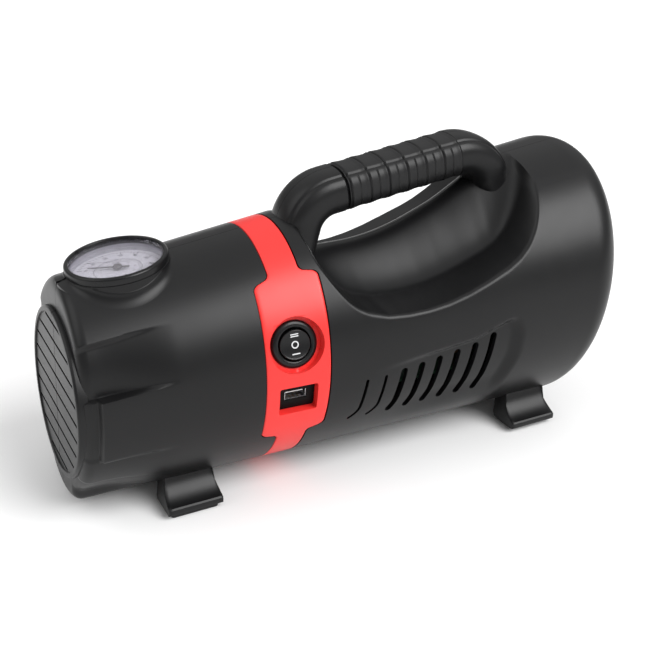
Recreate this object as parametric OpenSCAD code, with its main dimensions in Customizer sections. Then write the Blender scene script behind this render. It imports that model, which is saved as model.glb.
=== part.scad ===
// Portable tire inflator: a conical drum housing with a carrying handle, a red
// control band, a round pressure gauge and a geared piston compressor inside.
// Frame: +X towards the large end, -Y is the control side, +Z up, feet on z = 0.

/* [Housing] */
// Height of the drum's section in the middle of the length
drum_height = 156.2; // [150:0.1:164]
// Width of the section as a share of its height
section_ratio = 0.85; // [0.82:0.01:0.9]
// Growth of the section's half height per millimetre of length
taper = 0.07; // [0.05:0.005:0.08]
// Rise of the section's centre per millimetre of length
axis_rise = 0.063; // [0.05:0.001:0.07]
// Height of the section's centre above the floor, in the middle
axis_height = 84.1; // [82:0.1:90]
// Wall thickness of the moulded shells
wall = 3; // [2.4:0.1:3.6]
// Distance from the middle to the nose face
nose_length = 174.5; // [172:0.5:180]
// Distance from the middle to the rear face
rear_length = 170; // [166:1:176]
// Rounding of the rear shoulder
rear_round = 20; // [16:1:24]
// Rounding of the nose rim
nose_round = 6; // [4:0.5:8]
// Depth of the side flutes behind the nose rim
flute_depth = 5; // [3:0.5:6]

/* [Control band] */
// Middle of the control band
band_x = -53.5; // [-56:0.5:-51]
// Width of the band over the top and the bottom
band_w = 18.4; // [14:0.1:22]
// Width of the control panel on the near side
panel_w = 38.8; // [36:0.1:42]
// Height of the lower end of the panel above the floor
panel_low = 45; // [40:1:50]
// Height of the upper end of the panel above the floor
panel_high = 138; // [132:1:142]
// Gap left along the seams
seam_gap = 0.4; // [0.3:0.05:0.6]

/* [Switch] */
// Diameter of the pocket round the switch
pocket_d = 33; // [31:0.5:34]
// Depth of the pocket
pocket_depth = 6; // [4:0.5:8]
// Diameter of the switch flange
bezel_d = 28; // [26:0.5:30]
// Diameter of the rocker
rocker_d = 18.6; // [17:0.1:19]
// Height of the middle of the switch above the floor
switch_z = 103; // [100:1:106]

/* [USB socket] */
// Width of the socket's recess
usb_recess_w = 23.5; // [20:0.5:26]
// Height of the socket's recess
usb_recess_h = 18; // [14:0.5:19]
// Depth of the socket's recess
usb_recess_depth = 7; // [5:0.5:9]
// Inner width of the socket
usb_w = 12.5; // [12.4:0.1:13]
// Inner height of the socket
usb_h = 5.1; // [5:0.1:5.4]
// Depth of the socket
usb_depth = 13; // [11:0.5:14]
// Height of the middle of the socket above the floor
usb_z = 69.5; // [68:0.5:72]

/* [Gauge] */
// Outer diameter of the gauge collar
gauge_d = 58; // [54:0.5:62]
// Diameter of the gauge glass
glass_d = 52.4; // [48:0.1:53]
// Depth of the gauge case
gauge_depth = 26; // [22:0.5:30]
// Place of the gauge along the length
gauge_x = -135.9; // [-140:0.1:-132]
// Height of the gauge rim above the floor
gauge_z = 149; // [147:0.5:153]
// Lean of the gauge towards the nose
gauge_lean = 6.3; // [3:0.1:9]
// Angle of the needle at zero pressure, measured from +X towards +Y
needle_zero = 150; // [90:1:240]

/* [Handle] */
// Width of the handle section
handle_w = 34; // [30:0.5:36]
// Height of the handle section
handle_h = 27; // [24:0.5:29]
// Height of the grip's middle line above the floor, at x = 0
handle_z = 169.5; // [167:0.5:174]
// Slope of the grip, as an angle
handle_slope = 7.8; // [5:0.1:10]
// Thickness of the rubber sleeve
sleeve_t = 2; // [1.5:0.1:3]
// Number of raised bands on the sleeve
sleeve_bands = 6; // [6:1:10]
// Depth of the grooves between the bands
groove_depth = 1; // [0.5:0.1:1.4]

/* [Grille] */
// Diameter of the raised grille on the nose
grille_d = 100; // [94:1:104]
// Height of the grille above the nose face
grille_proud = 2.5; // [2:0.5:4]
// Number of slots in the grille
grille_slots = 10; // [8:1:12]
// Width of a slot
grille_slot_w = 2.4; // [1.6:0.1:3]
// Distance from slot to slot
grille_pitch = 7.2; // [6:0.1:7.4]

/* [Side vents] */
// Number of side vents
vent_count = 8; // [8:1:9]
// Distance from vent to vent
vent_pitch = 12.4; // [11:0.1:12.6]
// Width of a vent
vent_w = 4.6; // [3:0.1:5.4]
// Width of the two narrow vents
narrow_vent_w = 2; // [1.4:0.1:3]
// Place of the first vent's lower end
vent_x = -13; // [-14:0.5:-10]
// Height of the vents' lower ends above the floor
vent_z = 45; // [42:0.5:48]

/* [Feet] */
// Length of a foot
foot_len = 34; // [26:0.5:38]
// Place of the front feet
front_foot_x = -113; // [-118:1:-108]
// Place of the rear feet
rear_foot_x = 124; // [118:1:128]
// Distance from the middle plane to a front foot's lip
front_foot_y = 49; // [46:0.5:52]
// Distance from the middle plane to a rear foot's lip
rear_foot_y = 55; // [50:0.5:57]
// Thickness of the rubber pads
pad_t = 3; // [2:0.5:4]

/* [Compressor] */
// Height of the motor axis above the floor
motor_z = 76; // [74:0.5:78]
// Diameter of the motor
motor_d = 44; // [40:0.5:46]
// Length of the motor
motor_len = 57; // [50:0.5:60]
// Gear module
gear_module = 1; // [1:0.05:1.05]
// Teeth on the pinion
pinion_teeth = 12; // [12:1:13]
// Teeth on the drive gear
gear_teeth = 52; // [48:1:54]
// Distance from the crank axis to the crank pin
crank_r = 8; // [6:0.5:8.5]
// Bore of the cylinder
bore_d = 24; // [20:0.5:26]
// Radial clearance of the piston in the cylinder
piston_clearance = 0.08; // [0.05:0.01:0.1]
// Radial clearance of the shafts in their bearings
shaft_clearance = 0.05; // [0.02:0.01:0.08]
// Diameter of the cooling fan
fan_d = 74; // [66:1:80]
// Number of fan blades
fan_blades = 7; // [5:1:9]

/* [Air outlet] */
// Outer diameter of the outlet nipple
outlet_d = 9; // [8:0.1:10]
// Length of the outlet nipple outside the cover
outlet_len = 7.2; // [5:0.1:9]

/* [Hidden] */
$fn = 48;
shell_colour = "#1c1d1f";

// ---- section of the drum ----
function smooth(t) = let(u = min(max(t, 0), 1)) u * u * (3 - 2 * u);
// Drop of the top line over the large end.
function sag(x) = 2.7 * smooth((x - 60) / 70);
function half_h(x) = drum_height / 2 + taper * x - sag(x) / 2;
function centre_z(x) = axis_height + axis_rise * x - sag(x) / 2;
nose_lean = 0.055;
band_lean = 0.02;
rear_lean = 0.096;
function lean(x) = lookup(x, [[-nose_length, nose_lean], [band_x, band_lean], [60, band_lean], [rear_length, rear_lean]]);
function lean_x(x, a) = x + lean(x) * half_h(x) * sin(a);

// A point of the skin: a = 0 on the near side, 90 on top; d = depth below the skin.
function skin(x, a, d = 0) =
    let(lx = lean_x(x, a), h = half_h(lx))
    [lx, -(section_ratio * h - d) * cos(a), centre_z(lx) + (h - d) * sin(a)];

function mix(a, b, t) = a + (b - a) * t;
function mean(list) = [for (p = list) 1] * list / len(list);
function side_angle(a) = a > 90 ? 180 - a : a;

// Closed solid through rings of points, with a fan of faces over each end.
module loft(rings) {
    n = len(rings[0]);
    m = len(rings);
    points = concat([for (r = rings) each r], [mean(rings[0]), mean(rings[m - 1])]);
    sides = [for (i = [0:m - 2], j = [0:n - 1])
        let(k = (j + 1) % n)
        each [[i * n + j, i * n + k, (i + 1) * n + k], [i * n + j, (i + 1) * n + k, (i + 1) * n + j]]];
    first = [for (j = [0:n - 1]) [m * n, (j + 1) % n, j]];
    last = [for (j = [0:n - 1]) [m * n + 1, (m - 1) * n + j, (m - 1) * n + (j + 1) % n]];
    polyhedron(points, concat(sides, first, last), convexity = 8);
}

// Tube-like solid: the rings close on themselves, the last one meets the first.
module ring_loft(rings) {
    n = len(rings[0]);
    m = len(rings);
    points = [for (r = rings) each r];
    faces = [for (i = [0:m - 1], j = [0:n - 1])
        let(k = (j + 1) % n, q = (i + 1) % m)
        each [[i * n + j, i * n + k, q * n + k], [i * n + j, q * n + k, q * n + j]]];
    polyhedron(points, faces, convexity = 8);
}

// ---- the band's outline: a narrow ring that widens into the control panel ----
function angle_at(x, z) = asin((z - centre_z(x)) / half_h(x));
panel_low_angle = angle_at(band_x, panel_low);
panel_high_angle = angle_at(band_x, panel_high);
shoulder = 5;
function panel_share(a) = a > 90 ? 0 :
    smooth((a - panel_low_angle + 2) / 4) * (1 - smooth((a - panel_high_angle + 3) / shoulder));
function band_half(a) = mix(band_w / 2, panel_w / 2, panel_share(a));
function front_edge(a) = band_x - band_half(a);
function rear_edge(a) = band_x + band_half(a);
near_angles = concat(
    [for (a = [-90:6:-36]) a],
    [for (t = [-2, -1, 0, 1, 2]) panel_low_angle + t],
    [for (a = [-24:6:42]) a],
    [for (t = [-3, -1.8, -0.5, 0.8, 2]) panel_high_angle + t],
    [for (a = [57:6.6:90]) a]);
all_angles = concat(near_angles, [for (a = [96:6:264]) a]);

// ---- nose ----
flute_start = 12;
flute_run = 36;
function flute_fade(x) = 1 - smooth((x + nose_length - flute_start) / flute_run);
function flute_share(a) =
    let(s = side_angle(a))
    s > 11 && s < 40.5 ? mix(1, 0.5, (s - 11) / 29.5)
    : s < -17 && s > -40 ? 0.6
    : s <= -40 && s > -64 ? 1
    : 0;
function flute(x, a) = flute_depth * flute_fade(x) * flute_share(a);
flute_angles = concat([for (a = [-90:6:-66]) a], [-63, -50, -41, -39, -30, -18.5, -16, -8, 0, 6, 10, 12, 20, 30, 39.5, 41.5],
    [for (a = [52:7.6:90]) a]);
nose_angles = concat(flute_angles, [for (i = [len(flute_angles) - 2:-1:1]) 180 - flute_angles[i]]);
nose_arc = [for (t = [0, 30, 60, 90]) [-nose_length + nose_round * (1 - cos(t)), nose_round * (1 - sin(t))]];
nose_body = [for (x = [-156, -146, -136, -126, -100]) [x, 0]];
function nose_ring(s) = [for (a = nose_angles) skin(s[0], a, s[1] + flute(s[0], a))];

module nose_skin() {
    loft([for (s = concat(nose_arc, nose_body, [[rear_edge(0), 0]])) nose_ring(s)]);
}
module nose_cavity() {
    flute_end = -nose_length + flute_start + flute_run;
    loft([for (s = [[-nose_length + wall, wall + flute_depth], [flute_end - 12, wall + flute_depth],
        [flute_end, wall], [rear_edge(0), wall]])
        [for (i = [0:35]) skin(s[0], i * 10 - 90, s[1])]]);
}

// ---- rear drum with the hand hollow ----
crest_line = [[-14, 134.5], [11, 134.8], [23, 136.2], [34, 138.5], [46, 142.1], [57, 146.4],
    [69, 151.4], [81, 158.6], [95, 168], [120, 178]];
rim_line = [[-36, 60], [-33.7, 52], [-28.3, 42], [-24.1, 35.6], [-19.3, 30], [-14, 26], [-8, 23], [4, 19.5], [17, 18],
    [30, 17.5], [43, 18], [57, 19.7], [71, 22.5], [85, 26], [93, 29], [101, 33.7], [107.6, 40], [113, 48], [118, 60]];
hollow_start = -36;
hollow_run = 9;
hollow_end = 92;
hollow_fade = 26;
function round_off(t) = let(u = min(max(t, 0), 1)) sqrt(1 - u * u);
function hollow(x) = smooth((x - hollow_start) / hollow_run) * round_off((x - hollow_end) / hollow_fade);
function core_share(u) = 0.1 * u + 0.9 * smooth((u - 0.22) / 0.56);
// A point of the hollow's floor at station x: u = 0 at the rim, 1 under the handle. The shape is taken from station
// xs and set t below the surface, so one function draws both faces of the wall.
function floor_point(x, xs, u, t) =
    let(a = lookup(xs, rim_line), w = hollow(xs), edge = skin(x, a), oval = skin(x, a + u * (90 - a), t),
        crest = min(lookup(xs, crest_line), centre_z(x) + half_h(x)),
        y = edge[1] * (1 - u), z = edge[2] + (crest - edge[2]) * core_share(u) - t)
    [oval[0], mix(oval[1], y, w), mix(oval[2], z, w)];
function skin_half(x, n, m) =
    let(a = lookup(x, rim_line))
    concat([for (i = [0:n]) skin(x, mix(-90, a, i / n))], [for (i = [1:m]) floor_point(x, x, i / m, 0)]);
floor_wall = 1.35 * wall;
function inward(x) = lookup(x, [[-20, 1], [10, 0], [70, 0], [hollow_end, -1]]);
function cavity_half(x, n, m) =
    let(xs = x + wall * inward(x), a = lookup(xs, rim_line), lx = lean_x(x, a),
        low = asin(min(half_h(lx) * sin(a) - floor_wall, half_h(lx) - wall) / (half_h(lx) - wall)))
    concat([for (i = [0:n]) skin(x, mix(-90, mix(a - 2, low, hollow(xs)), i / n), wall)],
        [for (i = [0:m - 1]) floor_point(x, xs, mix(0.1, 1, i / (m - 1)), floor_wall)]);
function mirror_y(p) = [p[0], -p[1], p[2]];
function whole_ring(h) = let(k = len(h) - 1)
    concat([[h[0][0], 0, h[0][2]]], [for (i = [1:k - 1]) h[i]], [[h[k][0], 0, h[k][2]]],
        [for (i = [k - 1:-1:1]) mirror_y(h[i])]);
rear_start = rear_length - rear_round;

// Carries a point of the last straight ring round the rear shoulder.
function rounded(p, t) =
    let(a = atan2(p[2] - centre_z(p[0]), -p[1] / section_ratio))
    skin(rear_start + rear_round * sin(t), a, rear_round * (1 - cos(t)));
module rear_skin() {
    loft(concat(
        [for (x = [front_edge(0), -36, -33.7, -31, -28.3, -24.1, -19.3, -14, -6, 8, 24, 40, 57, 71, 85, 93, 101,
            107.6, 113, 118, rear_start]) whole_ring(skin_half(x, 11, 10))],
        [for (t = [22.5, 45, 67.5, 90]) whole_ring([for (p = skin_half(rear_start, 11, 10)) rounded(p, t)])]));
}
function plain_ring(x, d) = whole_ring([for (i = [0:14]) skin(x, mix(-90, 90, i / 14), d)]);
module rear_cavity() {
    loft(concat(
        [for (x = [front_edge(0) - 2, -39, -34, -30, -27, -22, -14, 0, 20, 40, 60, 78, 92, 101, 108, 114, 121])
            whole_ring(cavity_half(x, 7, 7))],
        [for (s = [[rear_start, wall], [rear_start + 12, wall + 4], [rear_length - wall - 4, rear_round - 4]])
            plain_ring(s[0], s[1])]));
}

// ---- hand well: the floor of the hollow, a moulding of its own between the two rims ----
well_stations = [-36, -33.7, -31, -28.3, -24.1, -19.3, -14, -6, 8, 24, 40, 57, 71, 85, 93, 101, 107.6, 113, 118];
well_shares = concat([0.05], [for (i = [1:10]) i / 10]);
well_gap = 0.05;
well_room_gap = 0.15;
well_room_z = 85;
function well_top(x, u) = floor_point(x, x, u, well_gap);
// The underside keeps the plan position of the top, so the two faces can't cross.
function well_under(x, u) =
    let(p = well_top(x, u), xs = x + wall * inward(x), edge = skin(x, lookup(xs, rim_line)),
        v = min(max(1 - p[1] / edge[1], 0), 1))
    [p[0], p[1], min(p[2] - wall, floor_point(x, xs, v, floor_wall)[2])];
function well_row(h) = let(k = len(h) - 1)
    concat([for (i = [0:k - 1]) h[i]], [[h[k][0], 0, h[k][2]]], [for (i = [k - 1:-1:0]) mirror_y(h[i])]);
// Closed wall between two grids of points, the upper face and the lower one.
module sheet(top, under) {
    m = len(top);
    n = len(top[0]);
    k = m * n;
    points = concat([for (r = top) each r], [for (r = under) each r]);
    faces_top = [for (i = [0:m - 2], j = [0:n - 2])
        let(a = i * n + j)
        each [[a, a + 1, a + n + 1], [a, a + n + 1, a + n]]];
    faces_under = [for (f = faces_top) [f[2] + k, f[1] + k, f[0] + k]];
    border = concat([for (j = [0:n - 2]) j], [for (i = [0:m - 2]) i * n + n - 1],
        [for (j = [n - 1:-1:1]) (m - 1) * n + j], [for (i = [m - 1:-1:1]) i * n]);
    sides = [for (i = [0:len(border) - 1])
        let(a = border[i], b = border[(i + 1) % len(border)])
        each [[b, a, a + k], [b, a + k, b + k]]];
    polyhedron(points, concat(faces_top, faces_under, sides), convexity = 8);
}
module hand_well() {
    color(shell_colour)
    sheet([for (x = well_stations) well_row([for (u = well_shares) well_top(x, u)])],
        [for (x = well_stations) well_row([for (u = well_shares) well_under(x, u)])]);
}
// Everything above the well's outline, which the shells leave free.
module well_room() {
    rows = [for (x = well_stations) well_row([for (u = well_shares) well_top(x, u)])];
    m = len(rows);
    n = len(rows[0]);
    outline = concat([for (i = [0:m - 1]) rows[i][0]], [for (j = [1:n - 2]) rows[m - 1][j]],
        [for (i = [m - 1:-1:0]) rows[i][n - 1]], [for (j = [n - 2:-1:1]) rows[0][j]]);
    translate([0, 0, well_room_z]) linear_extrude(room) offset(delta = well_room_gap)
        polygon([for (p = outline) [p[0], p[1]]]);
}

// ---- cutters that leave the band's seat free ----
outside = -6;
deep = 21.3;
module beyond_front_edge() {
    loft([[for (a = all_angles) skin(front_edge(a) - seam_gap, a, deep)],
        [for (a = all_angles) skin(front_edge(a) - seam_gap, a, outside)],
        [for (a = all_angles) skin(rear_edge(0) + 20, a, outside)]]);
}
module before_rear_edge() {
    loft([[for (a = all_angles) skin(front_edge(0) - 20, a, outside)],
        [for (a = all_angles) skin(rear_edge(a) + seam_gap, a, outside)],
        [for (a = all_angles) skin(rear_edge(a) + seam_gap, a, deep)]]);
}
room = 400;
module half(side) {
    translate([-room / 2, side > 0 ? 0 : -room, -room / 4]) cube([room, room, room]);
}
module slab(x0, x1) {
    translate([x0, -room / 2, -room / 4]) cube([x1 - x0, room, room]);
}
module along_x(x0, x1, r, y = 0, z = 0) {
    translate([x0, y, z]) rotate([0, 90, 0]) cylinder(h = x1 - x0, r = r);
}
module along_y(y0, y1, r, x, z) {
    translate([x, y1, z]) rotate([90, 0, 0]) cylinder(h = y1 - y0, r = r);
}

// ---- frames of reference ----
module at_nose_face() {
    translate([-nose_length, 0, centre_z(-nose_length)]) rotate([0, atan(nose_lean) - 90, 0]) children();
}
module at_rear_face() {
    translate([rear_length, 0, centre_z(rear_length)]) rotate([0, 90 + atan(rear_lean), 0]) children();
}
module at_gauge() {
    translate([gauge_x, 0, gauge_z]) rotate([0, -gauge_lean, 0]) children();
}
// Origin on the skin at height z of the near side, with +Z outwards and +Y up the skin.
module on_panel(z) {
    a = angle_at(band_x, z);
    p = skin(band_x, a);
    translate([band_x, p[1], z]) rotate([90 - panel_tilt(z), 0, 0]) rotate([0, -panel_yaw, 0]) children();
}
panel_yaw = atan(taper * section_ratio);
function panel_tilt(z) =
    let(a = angle_at(band_x, z))
    atan2(sin(a) * section_ratio, cos(a));

// ---- feet ----
foot_profile = [[27, 30], [23, 6], [22, pad_t], [1, pad_t], [0, pad_t + 1], [0, pad_t + 4.5], [5, pad_t + 6],
    [10, pad_t + 9.5], [14, pad_t + 15], [14.5, 24]];
function foot_y(x) = x < 0 ? front_foot_y : rear_foot_y;
module foot_on(side, x) {
    mirror([0, side > 0 ? 1 : 0, 0]) translate([x - foot_len / 2, -foot_y(x), 0])
        rotate([90, 0, 90]) linear_extrude(foot_len) polygon(foot_profile);
}
pad_inset = 2.5;
pad_w = 22 - 2 * pad_inset;
module foot_pads() {
    color("#141414")
    for (x = [front_foot_x, rear_foot_x], side = [-1, 1])
        mirror([0, side > 0 ? 1 : 0, 0]) translate([x - foot_len / 2 + pad_inset, -foot_y(x) + pad_inset, 0])
            cube([foot_len - 2 * pad_inset, pad_w, pad_t]);
}

// ---- screws that draw the halves together ----
boss_r = 5;
boss_places = [[-96, 131], [-96, 26], [-12, 22], [66, 26], [148, 32], [148, 150]];
screw_r = 1.7;
screw_head_r = 3.2;
screw_sink = 9;
screw_reach = 14;
function side_y(p) = section_ratio * half_h(p[0]) * sqrt(1 - pow((p[1] - centre_z(p[0])) / half_h(p[0]), 2));
module boss(p, r, side, y0, y1) {
    if (side < 0) along_y(-y1, -y0, r, p[0], p[1], $fn = 12);
    else along_y(y0, y1, r, p[0], p[1], $fn = 12);
}
front_bosses = [for (p = boss_places) if (p[0] < band_x) p];
rear_bosses = [for (p = boss_places) if (p[0] > band_x) p];
module screw_holes(places, side) {
    for (p = places) {
        if (side < 0) boss(p, screw_r - 0.1, side, -1, screw_reach);
        else {
            boss(p, screw_r + 0.2, side, -1, room / 2);
            boss(p, screw_head_r + 0.3, side, side_y(p) - screw_sink, room / 2);
        }
    }
}

// ---- nose shells ----
collar_h = 30;
case_r = glass_d / 2 + 1.2;
module collar() {
    at_gauge() {
        translate([0, 0, -collar_h]) cylinder(h = collar_h - 4.2, r = gauge_d / 2);
        translate([0, 0, -collar_h]) cylinder(h = collar_h - 11, r = gauge_d / 2 + 2.6);
        translate([0, 0, -11]) cylinder(h = 2.6, r1 = gauge_d / 2 + 2.6, r2 = gauge_d / 2);
    }
}
module gauge_bore() {
    at_gauge() translate([0, 0, -60]) cylinder(h = 70, r = case_r + 0.15);
}
module grille_slot(i) {
    h = (i - (grille_slots - 1) / 2) * grille_pitch;
    reach = sqrt(pow(grille_d / 2 - 4, 2) - h * h);
    at_nose_face() hull()
        for (y = [-reach, reach])
            translate([h, y, -wall - 3]) cylinder(h = wall + 10, r = grille_slot_w / 2, $fn = 8);
}
cradle_x = -120;
cradle_t = 4;
module motor_cradle(side) {
    difference() {
        intersection() {
            nose_core();
            slab(cradle_x, cradle_x + cradle_t);
            translate([-room / 2, -room / 2, 0]) cube([room, room, motor_z + 34]);
        }
        along_x(cradle_x - 1, cradle_x + cradle_t + 1, motor_d / 2 + 0.2, 0, motor_z);
        for (t = [-62, 0, 62]) translate([cradle_x - 1, 0, motor_z]) rotate([90 * side - t - 90 * side, 0, 0])
            translate([0, side * 38, 0]) rotate([0, 90, 0]) cylinder(h = cradle_t + 2, r = 9, $fn = 16);
    }
}
module nose_core() {
    loft([for (x = [-nose_length + 2, rear_edge(0)]) [for (i = [0:35]) skin(x, i * 10 - 90, wall - 1)]]);
}
module nose_shell(side) {
    difference() {
        intersection() {
            union() {
                difference() {
                    union() {
                        nose_skin();
                        at_nose_face() translate([0, 0, -wall]) cylinder(h = wall + grille_proud, r = grille_d / 2);
                    }
                    nose_cavity();
                }
                difference() {
                    collar();
                    intersection() {
                        nose_cavity();
                        translate([-room / 2, -room / 2, -room]) cube([room, room, room + gauge_z - 22]);
                    }
                }
                intersection() {
                    nose_core();
                    for (p = front_bosses) boss(p, boss_r, side, 0, room / 2);
                }
                motor_cradle(side);
                foot_on(side, front_foot_x);
            }
            half(side);
        }
        gauge_bore();
        for (i = [0:grille_slots - 1]) grille_slot(i);
        screw_holes(front_bosses, side);
        beyond_front_edge();
        carrier_seat();
        intersection() {
            nose_cavity();
            translate([front_foot_x - 40, -room / 2, 0]) cube([80, room, 24]);
        }
    }
}
// Room for the ring that carries the band and joins the shells.
carrier_d = wall + 0.1;
carrier_t = 2;
carrier_x0 = front_edge(0) - 6;
carrier_x1 = hollow_start - 4;
carrier_play = 0.3;
module carrier_seat() {
    loft([for (x = [carrier_x0 - carrier_play, carrier_x1 + carrier_play])
        [for (a = [-90:10:260]) skin(x, a, carrier_d - 0.05)]]);
}
module nose_shell_near() { color(shell_colour) nose_shell(-1); }
module nose_shell_far() { color(shell_colour) nose_shell(1); }

// ---- rear shells with the handle ----
slope = tan(handle_slope);
front_bend = 23;
rear_bend = 26;
grip_start = -6.5;
sleeve_x0 = 2;
sleeve_x1 = 78;
grip_end = 80;
function grip_z(x) = handle_z + slope * x;
function arc_point(c, r, t) = [c[0] + r * sin(t), c[1] + r * cos(t)];
front_centre = [grip_start + front_bend * sin(handle_slope), grip_z(grip_start) - front_bend * cos(handle_slope)];
rear_centre = [grip_end + rear_bend * sin(handle_slope), grip_z(grip_end) - rear_bend * cos(handle_slope)];
// Stations of the handle: x, z and the angle of the path above the horizontal.
handle_path = concat(
    [[-31, 134, 80]],
    [for (t = [80, 62, 44, 26]) [front_centre[0] - front_bend * sin(t), front_centre[1] + front_bend * cos(t), t]],
    [for (x = [grip_start, sleeve_x0 - 0.5]) [x, grip_z(x), handle_slope]],
    [for (x = [sleeve_x0, sleeve_x1]) [x, grip_z(x), handle_slope]],
    [[sleeve_x1 + 0.5, grip_z(sleeve_x1 + 0.5), handle_slope]],
    [for (t = [0, 18, 36, 54, 70]) [each arc_point(rear_centre, rear_bend, t), -t]],
    [[118, 146, -70]]);
// Section of the handle across the path: flat on top, round below.
function handle_point(s, q, d) =
    let(c = cos(q), v = sin(q), e = 0.78,
        y = (handle_w / 2 - d) * sign(c) * pow(abs(c), e), h = (handle_h / 2 - d) * sign(v) * pow(abs(v), e))
    [s[0] - h * sin(s[2]), y, s[1] + h * cos(s[2])];
handle_sides = [for (q = [270:-22.5:-67.5]) q];
function in_sleeve(x) = x >= sleeve_x0 && x <= sleeve_x1;
module handle() {
    loft([for (s = handle_path) [for (q = handle_sides) handle_point(s, q, in_sleeve(s[0]) ? sleeve_t : 0)]]);
}
// Slots in the core that key the soft sleeve to it.
key_count = 8;
key_len = 5;
key_depth = 0.8;
module key_slot(i) {
    x = sleeve_x0 + (i + 0.5) * (sleeve_x1 - sleeve_x0) / key_count;
    z = grip_z(x) - handle_h / 2 + sleeve_t + key_depth;
    hull() for (y = [-key_len / 2, key_len / 2])
        translate([x, y, z - 10]) cylinder(h = 10, r = 1, $fn = 8);
}
module handle_core() {
    color(shell_colour)
    difference() {
        handle();
        rear_skin();
        for (i = [0:key_count - 1]) key_slot(i);
    }
}
sleeve_clearance = 0.1;
band_pitch = (sleeve_x1 - sleeve_x0 - 1) / sleeve_bands;
sleeve_stations = [for (i = [0:sleeve_bands - 1], f = [[0, 1], [0.12, 0], [0.88, 0]])
    [sleeve_x0 + 0.5 + (i + f[0]) * band_pitch, f[1] * groove_depth]];
module handle_grip() {
    last = [sleeve_x1 - 0.5, groove_depth];
    stations = concat(sleeve_stations, [last]);
    outer = [for (t = stations) [for (q = handle_sides) handle_point([t[0], grip_z(t[0]), handle_slope], q, t[1])]];
    inner = [for (x = [last[0], sleeve_x0 + 0.5])
        [for (q = handle_sides) handle_point([x, grip_z(x), handle_slope], q, sleeve_t - sleeve_clearance)]];
    color("#161616") ring_loft(concat(outer, inner));
}

module vent(i) {
    w = i < 2 ? narrow_vent_w : vent_w;
    x = vent_x + i * vent_pitch;
    top = vent_z + 27.5 + 0.2 * i * i + (i == vent_count - 1 ? 2 : 0);
    hull() {
        along_y(-room / 2, room / 2, w / 2, x, vent_z, $fn = 8);
        along_y(-room / 2, room / 2, w / 2, x + 3, top, $fn = 8);
    }
}
cover_r = 46;
cover_t = 3;
ledge = 3;
board_z = 46;
post_places = [[14, 26], [96, 26]];
module rear_core() {
    loft([for (x = [front_edge(0), rear_length - 8]) plain_ring(x, wall - 1)]);
}
module rear_shell(side) {
    difference() {
        intersection() {
            union() {
                difference() {
                    rear_skin();
                    rear_cavity();
                }
                intersection() {
                    rear_core();
                    rear_skin();
                    for (p = rear_bosses) boss(p, boss_r, side, 0, room / 2);
                }
                intersection() {
                    rear_core();
                    for (p = post_places) translate([p[0], side * p[1], 0]) cylinder(h = board_z, r = 4, $fn = 16);
                }
                difference() {
                    foot_on(side, rear_foot_x);
                    rear_cavity();
                }
            }
            half(side);
        }
        for (i = [0:vent_count - 1]) vent(i);
        at_rear_face() {
            translate([0, 0, -cover_t]) cylinder(h = room, r = cover_r);
            translate([0, 0, -cover_t - 20]) cylinder(h = room, r = cover_r - ledge);
        }
        screw_holes(rear_bosses, side);
        before_rear_edge();
        carrier_seat();
        well_room();
    }
}
module rear_shell_near() { color(shell_colour) rear_shell(-1); }
module rear_shell_far() { color(shell_colour) rear_shell(1); }
module shell_screws() {
    color("#8a8c90")
    for (p = boss_places) {
        seat = side_y(p) - screw_sink;
        along_y(-screw_reach + 2, seat + 0.5, screw_r - 0.15, p[0], p[1]);
        along_y(seat, seat + 2.4, screw_head_r, p[0], p[1]);
    }
}

// ---- red band with its two recesses ----
cup_wall = 2;
cup_top = 2.5;
body_r = rocker_d / 2 + 2.1;
module band_ring() {
    ring_loft([for (a = all_angles) [skin(front_edge(a), a), skin(front_edge(a), a, wall), skin(rear_edge(a), a, wall),
        skin(rear_edge(a), a)]]);
}
module recess_block(w, h, z0, z1) {
    translate([-w / 2, -h / 2, z0]) cube([w, h, z1 - z0]);
}
module control_band() {
    color("#f23a35")
    difference() {
        union() {
            band_ring();
            on_panel(switch_z) translate([0, 0, -pocket_depth - cup_wall])
                cylinder(h = pocket_depth + cup_wall - cup_top, r = pocket_d / 2 + cup_wall);
            on_panel(usb_z) recess_block(usb_recess_w + 2 * cup_wall, usb_recess_h + 2 * cup_wall,
                -usb_recess_depth - cup_wall, -cup_top);
        }
        on_panel(switch_z) {
            translate([0, 0, -pocket_depth]) cylinder(h = 30, r = pocket_d / 2);
            translate([0, 0, -20]) cylinder(h = 30, r = body_r + 0.1);
        }
        on_panel(usb_z) {
            recess_block(usb_recess_w, usb_recess_h, -usb_recess_depth, 20);
            recess_block(usb_w + 2, usb_h + 2, -20, 20);
        }
    }
}
module band_carrier() {
    color("#151515")
    difference() {
        ring_loft([for (a = [-90:10:260]) [skin(carrier_x0, a, carrier_d), skin(carrier_x0, a, carrier_d + carrier_t),
            skin(carrier_x1, a, carrier_d + carrier_t), skin(carrier_x1, a, carrier_d)]]);
        on_panel(switch_z) translate([0, 0, -40]) cylinder(h = 60, r = pocket_d / 2 + cup_wall + 0.5);
        on_panel(usb_z) recess_block(usb_recess_w + 2 * cup_wall + 1, usb_recess_h + 2 * cup_wall + 1, -40, 20);
    }
}

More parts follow.
